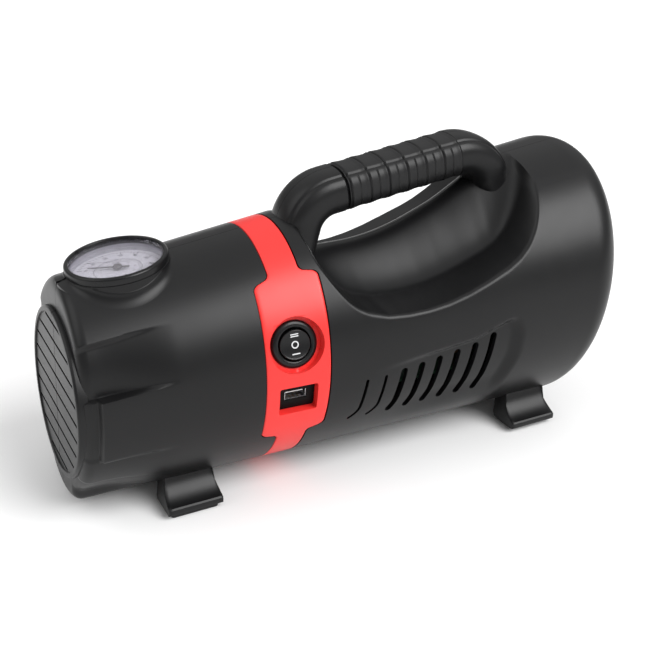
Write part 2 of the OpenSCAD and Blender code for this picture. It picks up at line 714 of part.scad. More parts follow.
// ---- rear cover, outlet and cord gland ----
gland_z = 74;
cover_gap = 0.3;
cover_screw_r = 38;
module cover_places() {
    for (t = [45, 135, 225, 315]) rotate([0, 0, t]) translate([cover_screw_r, 0, 0]) children();
}
module rear_cover() {
    color("#202124")
    difference() {
        at_rear_face() {
            translate([0, 0, -cover_t + 0.05]) cylinder(h = cover_t - 0.05, r = cover_r - cover_gap);
            translate([0, 0, -cover_t - 4]) cylinder(h = 4.1, r = cover_r - ledge - cover_gap);
        }
        along_x(rear_length - 20, rear_length + 20, outlet_d / 2 + 1.1, 0, port_z);
        along_x(rear_length - 20, rear_length + 20, gland_r + 0.1, 0, gland_z);
        at_rear_face() cover_places() translate([0, 0, -20]) cylinder(h = 40, r = 1.6);
    }
}
gland_r = 6;
module cord_gland() {
    color("#121212")
    difference() {
        union() {
            along_x(rear_length - 12, rear_length + 6, gland_r, 0, gland_z);
            along_x(rear_length + 4.4, rear_length + 6, gland_r + 2, 0, gland_z);
        }
        along_x(rear_length - 20, rear_length + 10, 2.6, 0, gland_z);
    }
}
module cover_screws() {
    color("#8a8c90")
    at_rear_face() cover_places() {
        translate([0, 0, 0.05]) cylinder(h = 1.8, r = 2.8);
        translate([0, 0, -10]) cylinder(h = 10.1, r = 1.4);
    }
}
outlet_x = rear_length + 2.5;
module outlet_nipple() {
    color("#c8a24a")
    difference() {
        union() {
            along_x(outlet_x, outlet_x + outlet_len, outlet_d / 2, 0, port_z);
            along_x(outlet_x - 16, outlet_x, outlet_d / 2 + 1, 0, port_z);
            along_x(outlet_x - 16, outlet_x - 13, outlet_d / 2 + 3, 0, port_z);
        }
        along_x(outlet_x - 20, outlet_x + outlet_len + 1, pipe_r + 0.05, 0, port_z);
    }
}
pipe_r = 2;

// ---- gauge ----
lens_t = 1.5;
dial_r = glass_d / 2 - 0.4;
dial_depth = 8;
spindle_r = 0.7;
module gauge_bezel() {
    color("#161618")
    at_gauge() rotate_extrude($fn = 96)
        polygon([[glass_d / 2, 0], [gauge_d / 2 - 1, 0], [gauge_d / 2, -1], [gauge_d / 2, -4.1],
            [case_r - 0.9, -4.1], [case_r - 0.9, -1.6], [glass_d / 2, -1.6]]);
}
module gauge_lens() {
    color([0.8, 0.85, 0.9, 0.4])
    at_gauge() translate([0, 0, -1.65 - lens_t]) cylinder(h = lens_t, r = case_r - 1);
}
module gauge_case() {
    color("#c9c7d2")
    at_gauge() difference() {
        translate([0, 0, -gauge_depth]) cylinder(h = gauge_depth - 4.2, r = case_r);
        translate([0, 0, -dial_depth - 1]) cylinder(h = 20, r = dial_r + 0.1);
        translate([0, 0, -gauge_depth + 2]) cylinder(h = gauge_depth, r = dial_r - 2);
        translate([0, 0, -gauge_depth - 1]) cylinder(h = 10, r = 4.1);
    }
}
module gauge_dial() {
    color("#d9d6e2")
    at_gauge() translate([0, 0, -dial_depth - 0.95]) difference() {
        cylinder(h = 0.9, r = dial_r);
        translate([0, 0, -1]) cylinder(h = 4, r = spindle_r + shaft_clearance);
    }
}
needle_len = 17;
needle_z = -dial_depth + 1.4;
module gauge_needle() {
    color("#2a2426")
    at_gauge() {
        translate([0, 0, -dial_depth - 5]) cylinder(h = 7, r = spindle_r);
        translate([0, 0, needle_z]) cylinder(h = 1.2, r = 2.6);
        rotate([0, 0, needle_zero]) translate([0, 0, needle_z]) linear_extrude(0.6)
            polygon([[-6, -1.2], [-6, 1.2], [0, 1.1], [needle_len, 0.3], [needle_len, -0.3], [0, -1.1]]);
    }
}
module gauge_movement() {
    color("#b08a3c")
    at_gauge() difference() {
        union() {
            translate([0, 0, -gauge_depth + 2.05]) cylinder(h = 8, r = 9);
            translate([0, 0, -gauge_depth - 3]) cylinder(h = 6, r = 4);
            translate([0, 0, -dial_depth - 8.5]) cylinder(h = 3, r = 4);
        }
        translate([0, 0, -dial_depth - 6]) cylinder(h = 6, r = spindle_r + shaft_clearance);
        translate([0, 0, -gauge_depth - 4]) cylinder(h = 6, r = pipe_r + 0.05);
    }
}

// ---- switch ----
flange_t = 2;
rocker_proud = 1.2;
pin_r = 1.2;
pin_depth = 4;
body_len = 22;
rocker_gap = 0.3;
rocker_w = rocker_d - 3;
module switch_housing() {
    color("#141416")
    on_panel(switch_z) translate([0, 0, -pocket_depth]) difference() {
        union() {
            translate([0, 0, 0.05]) cylinder(h = flange_t, r = bezel_d / 2);
            translate([0, 0, -body_len]) cylinder(h = body_len + 1, r = body_r);
        }
        intersection() {
            translate([0, 0, -7]) cylinder(h = 20, r = rocker_d / 2 + 1.3);
            recess_block(rocker_w + 2 * rocker_gap, 3 * rocker_d, -7, 12);
        }
        translate([-body_r + 1, 0, flange_t - pin_depth]) rotate([0, 90, 0])
            cylinder(h = 2 * body_r - 2, r = pin_r + shaft_clearance);
    }
}
module switch_rocker() {
    color("#1a1a1c")
    on_panel(switch_z) translate([0, 0, -pocket_depth + flange_t - pin_depth]) {
        intersection() {
            translate([-rocker_w / 2, 0, 0]) rotate([90, 0, 90]) linear_extrude(rocker_w)
                polygon([[-rocker_d / 2, 0], [-2, -3], [2, -3], [rocker_d / 2, 0], [rocker_d / 2, pin_depth + rocker_proud],
                    [0, pin_depth + 0.4], [-rocker_d / 2, pin_depth + rocker_proud]]);
            translate([0, 0, -4]) cylinder(h = 12, r = rocker_d / 2);
        }
        translate([-rocker_w / 2 - 1, 0, 0]) rotate([0, 90, 0]) cylinder(h = rocker_w + 2, r = pin_r);
    }
}
module switch_terminals() {
    color("#c9a85a")
    on_panel(switch_z) for (y = [-6, 0, 6])
        translate([-2.4, y - 0.4, -pocket_depth - body_len - 7]) cube([4.8, 0.8, 7]);
}

// ---- USB socket ----
usb_t = 0.4;
usb_bezel_t = 1.5;
module usb_bezel() {
    color("#101010")
    on_panel(usb_z) difference() {
        recess_block(usb_recess_w - 0.3, usb_recess_h - 0.3, -usb_recess_depth + 0.05, -usb_recess_depth + usb_bezel_t);
        recess_block(usb_w + 2 * usb_t + 0.1, usb_h + 2 * usb_t + 0.1, -30, 10);
    }
}
usb_mouth = -usb_recess_depth + usb_bezel_t + 0.4;
module usb_shell() {
    color("#b9bcc2")
    on_panel(usb_z) difference() {
        recess_block(usb_w + 2 * usb_t, usb_h + 2 * usb_t, usb_mouth - usb_depth - usb_t, usb_mouth);
        recess_block(usb_w, usb_h, usb_mouth - usb_depth, 10);
    }
}
module usb_tongue() {
    color("#e8e8e8")
    on_panel(usb_z) translate([-usb_w / 2 + 0.8, usb_h / 2 - 2.3, usb_mouth - usb_depth + 0.05])
        cube([usb_w - 1.6, 1.8, usb_depth - 3]);
}
module usb_board() {
    color("#1f6b3a")
    on_panel(usb_z) translate([-13, -10, usb_mouth - usb_depth - usb_t - 1.75]) cube([26, 20, 1.6]);
}

// ---- compressor ----
pinion_r = gear_module * pinion_teeth / 2;
gear_r = gear_module * gear_teeth / 2;
crank_z = motor_z - pinion_r - gear_r;
plate_x0 = -73;
plate_x1 = -67;
gear_x0 = -63.5;
gear_t = 6;
pin_x1 = -49.3;
rod_x0 = pin_x1 + 0.3;
rod_t = 6;
cylinder_x = rod_x0 + rod_t / 2;
motor_shaft_r = 2.5;
crank_shaft_r = 4;
rod_len = 52;
piston_h = 8;
piston_top = crank_z + crank_r + rod_len + piston_h;
barrel_z0 = piston_top - 2 * crank_r - piston_h;
barrel_z1 = piston_top + 0.8;
shelf_t = 3.5;
barrel_r = bore_d / 2 + 3;
fin_r = barrel_r + 4;
plate_windows = [[30, 112], [-38, 46], [38, 46]];
module bulkhead() {
    color("#a9adb3")
    difference() {
        union() {
            intersection() {
                loft([for (x = [plate_x0 - 12, plate_x1 + 12])
                    [for (a = [-90:10:260]) skin(x, a, carrier_d + carrier_t + 0.1)]]);
                slab(plate_x0, plate_x1);
            }
            along_x(plate_x1 - 1, plate_x1 + 3, crank_shaft_r + 3.5, 0, crank_z);
            translate([plate_x1 - 1, -fin_r, barrel_z0 - shelf_t])
                cube([cylinder_x + fin_r - plate_x1 + 1, 2 * fin_r, shelf_t]);
            for (y = [-fin_r, fin_r - 3])
                translate([plate_x1 - 1, y, barrel_z0 - shelf_t - 14]) cube([14, 3, 15]);
        }
        along_x(-90, -50, crank_shaft_r + shaft_clearance, 0, crank_z);
        along_x(-90, -50, 8, 0, motor_z);
        for (y = [-11, 11]) along_x(-90, -60, 1.6, y, motor_z);
        translate([cylinder_x, 0, 0]) cylinder(h = 200, r = bore_d / 2 + 0.2);
        for (p = plate_windows) along_x(-90, -60, 9, p[0], p[1]);
        along_x(-90, -60, pipe_r + 3, 0, port_z);
        on_panel(switch_z) translate([0, 0, -pocket_depth - cup_wall - 0.5])
            cylinder(h = 60, r = pocket_d / 2 + cup_wall + 0.5);
        on_panel(usb_z) recess_block(usb_recess_w + 2 * cup_wall + 1, usb_recess_h + 2 * cup_wall + 1,
            -usb_recess_depth - cup_wall - 0.5, 40);
    }
}
can_x0 = plate_x0 - motor_len;
module motor_can() {
    color("#8f949b")
    difference() {
        along_x(can_x0, plate_x0 - 0.05, motor_d / 2, 0, motor_z);
        along_x(can_x0 - 1, plate_x0 - 3, motor_d / 2 - 1.5, 0, motor_z);
        along_x(can_x0 - 1, 0, motor_shaft_r + shaft_clearance, 0, motor_z);
        for (y = [-11, 11]) along_x(plate_x0 - 8, 0, 1.3, y, motor_z);
    }
}
module motor_end_bell() {
    color("#2b2b2e")
    difference() {
        union() {
            along_x(can_x0 - 2.5, can_x0 - 0.05, motor_d / 2, 0, motor_z);
            along_x(can_x0 - 2.5, can_x0 + 4, motor_d / 2 - 1.6, 0, motor_z);
        }
        along_x(can_x0 - 10, 0, motor_shaft_r + shaft_clearance, 0, motor_z);
        for (y = [-13, 13]) along_x(can_x0 - 10, can_x0 + 10, 4, y, motor_z);
    }
}
magnet_r = motor_d / 2 - 1.6;
module motor_magnets() {
    color("#3a3a3e")
    for (side = [-1, 1]) difference() {
        along_x(can_x0 + 8, plate_x0 - 8, magnet_r, 0, motor_z);
        along_x(can_x0 + 7, plate_x0 - 7, magnet_r - 2.5, 0, motor_z);
        translate([can_x0, side < 0 ? -8 : -50, motor_z - 40]) cube([80, 58, 80]);
    }
}
armature_r = magnet_r - 3;
module motor_rotor() {
    color("#b87333")
    union() {
        along_x(can_x0 - 26, gear_x0 + gear_t + 0.5, motor_shaft_r, 0, motor_z);
        difference() {
            along_x(can_x0 + 10, plate_x0 - 10, armature_r, 0, motor_z);
            for (t = [0:60:300]) translate([0, 0, motor_z]) rotate([t, 0, 0])
                translate([can_x0 + 9, armature_r - 5, -1]) cube([60, 10, 2]);
        }
        along_x(can_x0 + 4.5, can_x0 + 10.5, 6, 0, motor_z);
    }
}
tooth_shape = [[-0.27, -1.2], [-0.115, 0.75], [0.115, 0.75], [0.27, -1.2]];
module tooth_wheel(teeth, r, h) {
    rotate([0, 90, 0]) linear_extrude(h) polygon([for (i = [0:teeth - 1], p = tooth_shape)
        let(a = (i + p[0]) * 360 / teeth, q = r + p[1] * gear_module)
        [q * cos(a), q * sin(a)]]);
}
module pinion() {
    color("#c0a060")
    translate([gear_x0, 0, motor_z]) difference() {
        rotate([mesh_turn, 0, 0]) tooth_wheel(pinion_teeth, pinion_r, gear_t);
        along_x(-1, gear_t + 1, motor_shaft_r + 0.01);
    }
}
mesh_turn = 180 / pinion_teeth;
module drive_gear() {
    color("#e3e0d6")
    translate([gear_x0, 0, crank_z]) {
        difference() {
            tooth_wheel(gear_teeth, gear_r, gear_t);
            along_x(-1, gear_t + 1, crank_shaft_r + 0.01);
            for (t = [90:60:270]) rotate([t - 90 + 60, 0, 0]) translate([0, 0, gear_r * 0.6]) along_x(-1, gear_t + 1, 4.6);
        }
        translate([0, 0, crank_r]) along_x(gear_t - 2, pin_x1 - gear_x0, 3);
    }
}
module crank_shaft() {
    color("#9aa0a8")
    along_x(plate_x0 - 4, gear_x0 + gear_t, crank_shaft_r, 0, crank_z);
}
module crank_retainer() {
    color("#6f7378")
    difference() {
        along_x(plate_x0 - 1.6, plate_x0 - 0.3, 6.5, 0, crank_z);
        along_x(plate_x0 - 3, plate_x0 + 2, crank_shaft_r + 0.01, 0, crank_z);
    }
}
module piston_rod() {
    color("#c6c9ce")
    translate([cylinder_x, 0, 0]) {
        translate([0, 0, piston_top - piston_h]) cylinder(h = piston_h, r = bore_d / 2 - piston_clearance);
        translate([-rod_t / 2, -3.5, crank_z + crank_r + 6]) cube([rod_t, 7, rod_len - 5.5]);
        difference() {
            along_x(-rod_t / 2, rod_t / 2, 7, 0, crank_z + crank_r);
            along_x(-rod_t, rod_t, 3.3, 0, crank_z + crank_r);
        }
    }
}
module piston_seal() {
    color("#202020")
    translate([cylinder_x, 0, piston_top]) difference() {
        cylinder(h = 0.4, r = bore_d / 2 - piston_clearance);
        translate([0, 0, -1]) cylinder(h = 2, r = bore_d / 2 - 3);
    }
}
module cylinder_barrel() {
    color("#b4b8bd")
    translate([cylinder_x, 0, 0]) difference() {
        union() {
            translate([0, 0, barrel_z0 + 0.05]) cylinder(h = barrel_z1 - barrel_z0 - 0.05, r = barrel_r);
            for (i = [0:3]) translate([0, 0, barrel_z0 + 0.05 + i * 6]) cylinder(h = 2, r = fin_r);
        }
        translate([0, 0, barrel_z0 - 1]) cylinder(h = 60, r = bore_d / 2);
    }
}
head_h = 12;
port_z = barrel_z1 + 5;
module cylinder_head() {
    color("#9da1a7")
    difference() {
        translate([cylinder_x - fin_r, -fin_r, barrel_z1 + 0.05]) cube([2 * fin_r, 2 * fin_r, head_h]);
        for (i = [-2:2]) translate([cylinder_x - fin_r - 1, i * 7 - 1.2, barrel_z1 + 8]) cube([2 * fin_r + 2, 2.4, 10]);
        along_x(cylinder_x - fin_r - 1, cylinder_x - 6, pipe_r + 0.05, 0, port_z);
        along_x(cylinder_x + 6, cylinder_x + fin_r + 1, pipe_r + 0.05, 0, port_z);
        for (x = [-1, 1], y = [-1, 1])
            translate([cylinder_x + x * (fin_r - 3.5), y * (fin_r - 3.5), barrel_z0]) cylinder(h = 80, r = 1.6);
    }
}
module head_screws() {
    color("#8a8c90")
    for (x = [-1, 1], y = [-1, 1]) translate([cylinder_x + x * (fin_r - 3.5), y * (fin_r - 3.5), 0]) {
        translate([0, 0, barrel_z1 + head_h + 0.1]) cylinder(h = 2, r = 2.8);
        translate([0, 0, barrel_z1 + 0.2]) cylinder(h = head_h, r = 1.4);
    }
}
module motor_screws() {
    color("#8a8c90")
    for (y = [-11, 11]) {
        along_x(plate_x0 - 2.5, plate_x1 + 0.1, 1.25, y, motor_z);
        along_x(plate_x1 + 0.05, plate_x1 + 1.8, 2.5, y, motor_z);
    }
}
// Pipe from the head along -X to an elbow under the gauge's stem.
elbow_drop = 32;
elbow_x = gauge_x + elbow_drop * sin(gauge_lean);
elbow_z = gauge_z - elbow_drop * cos(gauge_lean);
elbow_r = 2.7;
module gauge_pipe() {
    color("#b87333") {
        along_x(elbow_x, cylinder_x - fin_r + 2, pipe_r, 0, port_z);
        translate([elbow_x, 0, elbow_z]) sphere(r = elbow_r);
        at_gauge() translate([0, 0, -elbow_drop]) cylinder(h = elbow_drop - gauge_depth + 1.5, r = pipe_r);
    }
}
module outlet_pipe() {
    color("#2f2f33")
    along_x(cylinder_x + fin_r - 2, rear_length - 14, pipe_r, 0, port_z);
}
hub_r = 8;
fan_x = can_x0 - 20;
module cooling_fan() {
    color("#3a3a3d")
    translate([fan_x, 0, motor_z]) difference() {
        union() {
            along_x(-4, 8, hub_r);
            for (t = [0:360 / fan_blades:359]) rotate([t, 0, 0])
                translate([2, 0, hub_r - 3]) rotate([0, 0, 35]) translate([-6, -0.8, 0])
                    cube([12, 1.6, fan_d / 2 - hub_r + 2.6]);
        }
        along_x(-10, 10, motor_shaft_r + 0.01);
    }
}

// ---- power supply ----
board_t = 1.6;
module power_board() {
    color("#1f6b3a")
    difference() {
        translate([4, -34, board_z + 0.05]) cube([104, 68, board_t]);
        for (p = post_places, side = [-1, 1])
            translate([p[0], side * p[1], board_z - 1]) cylinder(h = 5, r = 1.6);
    }
}
board_top = board_z + board_t + 0.1;
module transformer() {
    color("#4a4036")
    translate([58, -18, board_top]) {
        cube([40, 36, 8]);
        translate([4, 4, 7.9]) cube([32, 28, 18]);
    }
}
module capacitors() {
    color("#28324a")
    for (p = [[22, -18], [22, 0], [22, 18]]) translate([p[0], p[1], board_top]) cylinder(h = 22, r = 8);
}
module heat_sink() {
    color("#9da1a7")
    translate([36, -20, board_top]) {
        cube([14, 40, 3]);
        for (i = [0:5]) translate([0, i * 7.6, 2.9]) cube([14, 2, 17]);
    }
}

nose_shell_near();
nose_shell_far();
rear_shell_near();
rear_shell_far();
control_band();
band_carrier();
hand_well();
handle_core();
handle_grip();
rear_cover();
foot_pads();
shell_screws();
gauge_bezel();
gauge_lens();
gauge_case();
gauge_dial();
gauge_needle();
gauge_movement();
switch_housing();
switch_rocker();
switch_terminals();
usb_bezel();
usb_shell();
usb_tongue();
usb_board();
bulkhead();
motor_can();
motor_end_bell();
motor_magnets();
motor_rotor();
pinion();
cooling_fan();
motor_screws();
drive_gear();
crank_shaft();
crank_retainer();
piston_rod();
piston_seal();
cylinder_barrel();
cylinder_head();
head_screws();
gauge_pipe();
outlet_pipe();
outlet_nipple();
power_board();
transformer();
capacitors();
heat_sink();
cord_gland();
cover_screws();
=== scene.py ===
# %% [markdown]
# # A portable tire inflator
# The inflator is a conical drum of black moulded plastic with a carrying handle,
# a red control band, a pressure gauge on top and a compressor inside. The solid
# model is loaded first as a fixed frame. Every piece made below sits in that same
# frame, in metres, and most stand for one or more of its nodes.

# %% Load the frame
import math
import bmesh
import bpy
import numpy as np
from mathutils import Matrix, Vector


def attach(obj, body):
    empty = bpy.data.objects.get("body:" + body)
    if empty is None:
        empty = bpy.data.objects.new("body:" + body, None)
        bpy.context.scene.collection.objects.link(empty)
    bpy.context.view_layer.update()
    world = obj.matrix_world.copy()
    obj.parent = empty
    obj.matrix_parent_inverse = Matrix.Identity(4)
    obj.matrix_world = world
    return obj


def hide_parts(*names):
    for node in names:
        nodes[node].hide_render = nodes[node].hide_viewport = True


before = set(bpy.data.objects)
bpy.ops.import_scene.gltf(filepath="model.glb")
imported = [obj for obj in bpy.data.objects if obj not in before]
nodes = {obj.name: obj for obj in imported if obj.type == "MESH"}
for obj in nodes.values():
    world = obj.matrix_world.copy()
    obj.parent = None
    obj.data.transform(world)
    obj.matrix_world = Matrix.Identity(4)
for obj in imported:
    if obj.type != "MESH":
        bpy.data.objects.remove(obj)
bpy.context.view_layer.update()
MM = 0.001

# %% [markdown]
# ## The drum's section
# Every outer surface of the drum comes from one formula: an oval that grows and
# rises along the length, cut by planes that lean a little. Writing it as one
# function keeps the nose, the band and the large end flush with each other.
# All lengths inside the formulas are millimetres.

# %% Section formulas
DRUM_HEIGHT = 156.2
SECTION_RATIO = 0.85
TAPER = 0.07
AXIS_RISE = 0.063
AXIS_HEIGHT = 84.1
SAG, SAG_START, SAG_RUN = 2.7, 60.0, 70.0
WALL = 3.0
NOSE_LENGTH = 174.5
REAR_LENGTH = 170.0
REAR_ROUND = 20.0
NOSE_ROUND = 6.0
NOSE_LEAN, BODY_LEAN, REAR_LEAN = 0.055, 0.02, 0.096
BAND_X = -53.5
BAND_W = 18.4
PANEL_W = 38.8
PANEL_LOW = 45.0
PANEL_HIGH = 138.0
SEAM = 0.55
HALF_SEAM = 0.12


def smooth(t):
    t = np.clip(t, 0.0, 1.0)
    return t * t * (3 - 2 * t)


def step(v, low, high):
    return smooth((v - low) / (high - low))


def sag(x):
    """How far the top of the drum sinks towards the large end."""
    return SAG * smooth((x - SAG_START) / SAG_RUN)


def half_h(x):
    return DRUM_HEIGHT / 2 + TAPER * x - sag(x) / 2


def centre_z(x):
    return AXIS_HEIGHT + AXIS_RISE * x - sag(x) / 2


def lean(x):
    """How far the planes of the cuts lean at station x."""
    places = [-NOSE_LENGTH, BAND_X, SAG_START, REAR_LENGTH]
    return np.interp(x, places, [NOSE_LEAN, BODY_LEAN, BODY_LEAN, REAR_LEAN])


def skin(x, a, d=0.0):
    """Points of the skin: a = 0 on the near side and 90 on top, d millimetres deep."""
    x, a, d = np.broadcast_arrays(np.asarray(x, float), np.radians(a), d)
    lx = x + lean(x) * half_h(x) * np.sin(a)
    h = half_h(lx)
    return np.stack([lx, -(SECTION_RATIO * h - d) * np.cos(a), centre_z(lx) + (h - d) * np.sin(a)], axis=-1)


def angle_at(x, z):
    return math.degrees(math.asin((z - centre_z(x)) / half_h(x)))


LOW_ANGLE = angle_at(BAND_X, PANEL_LOW)
HIGH_ANGLE = angle_at(BAND_X, PANEL_HIGH)
print("section in the middle:", round(float(half_h(0)) * 2, 1), "mm high")

# %% [markdown]
# ## From grids to solids
# Most pieces are walls of even thickness. A wall is made as two grids of points,
# the outer face and the inner one, joined round their borders. The result is a
# closed solid, so it can be cut by a Boolean and it casts a true shadow.

# %% Mesh helpers
def grid_faces(m, n, start=0, turn=False):
    i, j = np.meshgrid(np.arange(m - 1), np.arange(n - 1), indexing="ij")
    a = start + i * n + j
    q = np.stack([a, a + n, a + n + 1, a + 1], axis=-1).reshape(-1, 4)
    return q[:, ::-1] if turn else q


def wall_mesh(outer, inner, turn=False):
    """Points and faces of a closed wall between two grids of the same size."""
    m, n = outer.shape[:2]
    k = m * n
    faces = [grid_faces(m, n, 0, turn), grid_faces(m, n, k, not turn)]
    border = [(i, 0) for i in range(m)] + [(m - 1, j) for j in range(1, n)]
    border += [(i, n - 1) for i in range(m - 2, -1, -1)] + [(0, j) for j in range(n - 2, 0, -1)]
    ring = np.array([i * n + j for i, j in border])
    after = np.roll(ring, -1)
    rim = np.stack([after, ring, ring + k, after + k], axis=-1)
    faces.append(rim[:, ::-1] if turn else rim)
    return np.concatenate([outer.reshape(-1, 3), inner.reshape(-1, 3)]), np.concatenate(faces)


def new_object(name, points, faces, scale=MM):
    mesh = bpy.data.meshes.new(name)
    mesh.from_pydata((np.asarray(points) * scale).tolist(), [], [list(map(int, f)) for f in faces])
    obj = bpy.data.objects.new(name, mesh)
    bpy.context.scene.collection.objects.link(obj)
    return obj


def clean(obj, merge=1e-6):
    bm = bmesh.new()
    bm.from_mesh(obj.data)
    bmesh.ops.remove_doubles(bm, verts=bm.verts, dist=merge)
    bmesh.ops.dissolve_degenerate(bm, edges=bm.edges, dist=merge)
    bmesh.ops.recalc_face_normals(bm, faces=bm.faces)
    bm.to_mesh(obj.data)
    bm.free()
    return obj


def shade(obj, angle):
    """Smooth shading, with edges sharper than the angle in degrees kept crisp."""
    mesh = obj.data
    mesh.polygons.foreach_set("use_smooth", [True] * len(mesh.polygons))
    mesh.set_sharp_from_angle(angle=math.radians(angle))
    return obj


def apply_modifiers(obj):
    graph = bpy.context.evaluated_depsgraph_get()
    mesh = bpy.data.meshes.new_from_object(obj.evaluated_get(graph))
    obj.modifiers.clear()
    obj.data = mesh
    return obj


def cut(obj, cutter, operation="DIFFERENCE"):
    """Cuts by a closed solid, and deletes the solid."""
    mod = obj.modifiers.new("cut", "BOOLEAN")
    mod.operation = operation
    mod.object = cutter
    mod.solver = "EXACT"
    apply_modifiers(obj)
    bpy.data.objects.remove(cutter)
    return obj


def bevel(obj, width, segments=2, angle=35):
    mod = obj.modifiers.new("bevel", "BEVEL")
    mod.width = width * MM
    mod.segments = segments
    mod.limit_method = "ANGLE"
    mod.angle_limit = math.radians(angle)
    mod.harden_normals = False
    return apply_modifiers(obj)


def join(name, objects):
    bm = bmesh.new()
    for o in objects:
        bm.from_mesh(o.data)
        bpy.data.objects.remove(o)
    mesh = bpy.data.meshes.new(name)
    bm.to_mesh(mesh)
    bm.free()
    obj = bpy.data.objects.new(name, mesh)
    bpy.context.scene.collection.objects.link(obj)
    return obj


def place(obj, matrix):
    """Moves the mesh itself, so the object stays at the origin."""
    obj.data.transform(matrix)
    return obj


made = []


def finish_piece(obj, material, replaces=(), body="housing", angle=32):
    shade(obj, angle)
    obj.data.materials.clear()
    obj.data.materials.append(material)
    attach(obj, body)
    if replaces:
        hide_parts(*replaces)
    made.append(obj)
    return obj


FINE = 128


def lathe(name, profile, steps=FINE):
    """Turns (radius, height) points round Z into a surface; a closed profile gives a ring."""
    pts = []
    for i in range(steps):
        t = math.radians(360.0 * i / steps)
        pts += [(r * math.cos(t), r * math.sin(t), z) for r, z in profile]
    k = len(profile)
    faces = []
    for i in range(steps):
        a, b = i * k, ((i + 1) % steps) * k
        faces += [(a + j, b + j, b + (j + 1) % k, a + (j + 1) % k) for j in range(k)
                  if profile[j][0] > 0 or profile[(j + 1) % k][0] > 0]
    return clean(new_object(name, pts, faces))


def rounded(points, radius, segments=5):
    """Rounds the corners of a closed outline of 2-D points."""
    out = []
    n = len(points)
    for i in range(n):
        p, q, r = (np.array(points[(i + s) % n], float) for s in (-1, 0, 1))
        u, v = p - q, r - q
        lu, lv = np.linalg.norm(u), np.linalg.norm(v)
        u, v = u / lu, v / lv
        half = math.acos(max(-1.0, min(1.0, float(u @ v)))) / 2
        reach = min(radius / max(math.tan(half), 1e-3), 0.45 * lu, 0.45 * lv)
        for s in range(segments + 1):
            t = s / segments
            out.append(tuple((1 - t) ** 2 * (q + u * reach) + 2 * t * (1 - t) * q + t * t * (q + v * reach)))
    return out


def extrude(name, outline, z0, z1):
    """A prism over a 2-D outline, from z0 to z1."""
    n = len(outline)
    pts = [(x, y, z0) for x, y in outline] + [(x, y, z1) for x, y in outline]
    faces = [[i, (i + 1) % n, n + (i + 1) % n, n + i] for i in range(n)]
    faces += [list(range(n))[::-1], list(range(n, 2 * n))]
    return clean(new_object(name, pts, faces))


print("helpers ready")

# %% [markdown]
# ## Finishes
# Each finish is a node tree. Moulded plastic is never flat: it has a fine etched
# grain that breaks up the gloss, slow swirls of colour from the melt, and streaks
# that are a little glossier. The grain is a noise texture that drives a bump node,
# in object coordinates, so it has a real size and keeps still on the piece.

# %% Node helpers
def add(tree, kind, inputs=None, **settings):
    """Adds a node; an input is a plain value, or the socket that feeds it."""
    node = tree.nodes.new(kind)
    for key, value in settings.items():
        setattr(node, key, value)
    for label, value in (inputs or {}).items():
        if isinstance(value, bpy.types.NodeSocket):
            tree.links.new(value, node.inputs[label])
        else:
            node.inputs[label].default_value = value
    return node


def ramp(tree, source, stops):
    """A color ramp; the first two stops are its ends, the others lie between them."""
    node = add(tree, "ShaderNodeValToRGB", {"Fac": source})
    marks = node.color_ramp.elements
    for k, (position, color) in enumerate(stops):
        mark = marks[k] if k < 2 else marks.new(position)
        mark.position = position
        mark.color = (*color, 1)
    return node.outputs["Color"]


def new_material(name, **shader_values):
    """A material with nodes; names its tree and its shader for the caller."""
    mat = bpy.data.materials.new(name)
    mat.use_nodes = True
    shader = mat.node_tree.nodes["Principled BSDF"]
    for label, value in shader_values.items():
        shader.inputs[label.replace("_", " ")].default_value = value
    return mat, mat.node_tree, shader


# %% Material helper
SWIRL_SCALE, STREAK_SCALE = 28.0, 95.0
GRAIN_DEPTH = 0.05


def finish(name, color, roughness, grain=0.0, grain_size=0.6, mottle=0.08, metallic=0.0, spread=0.08,
           specular=0.5, second=None):
    """Swirls between two colors, streaks of gloss, and a grain of the given size in millimetres."""
    mat, tree, shader = new_material(name, Metallic=metallic, Specular_IOR_Level=specular)
    spot = add(tree, "ShaderNodeTexCoord").outputs["Object"]
    swirl = add(tree, "ShaderNodeTexNoise", {"Vector": spot, "Scale": SWIRL_SCALE, "Detail": 4.0})
    other = second or tuple(c * (1 - 2 * mottle) for c in color)
    mixed = ramp(tree, swirl.outputs["Fac"], ((0.3, other), (0.7, color)))
    tree.links.new(mixed, shader.inputs["Base Color"])
    streak = add(tree, "ShaderNodeTexNoise", {"Vector": spot, "Scale": STREAK_SCALE, "Detail": 3.0})
    gloss = add(tree, "ShaderNodeMapRange", {
        "Value": streak.outputs["Fac"], "To Min": roughness - spread / 2, "To Max": roughness + spread / 2})
    tree.links.new(gloss.outputs["Result"], shader.inputs["Roughness"])
    if grain:
        fine = add(tree, "ShaderNodeTexNoise", {
            "Vector": spot, "Scale": 1.0 / (grain_size * MM), "Detail": 2.0})
        bump = add(tree, "ShaderNodeBump", {
            "Strength": grain, "Distance": GRAIN_DEPTH * MM, "Height": fine.outputs["Fac"]})
        tree.links.new(bump.outputs["Normal"], shader.inputs["Normal"])
    return mat


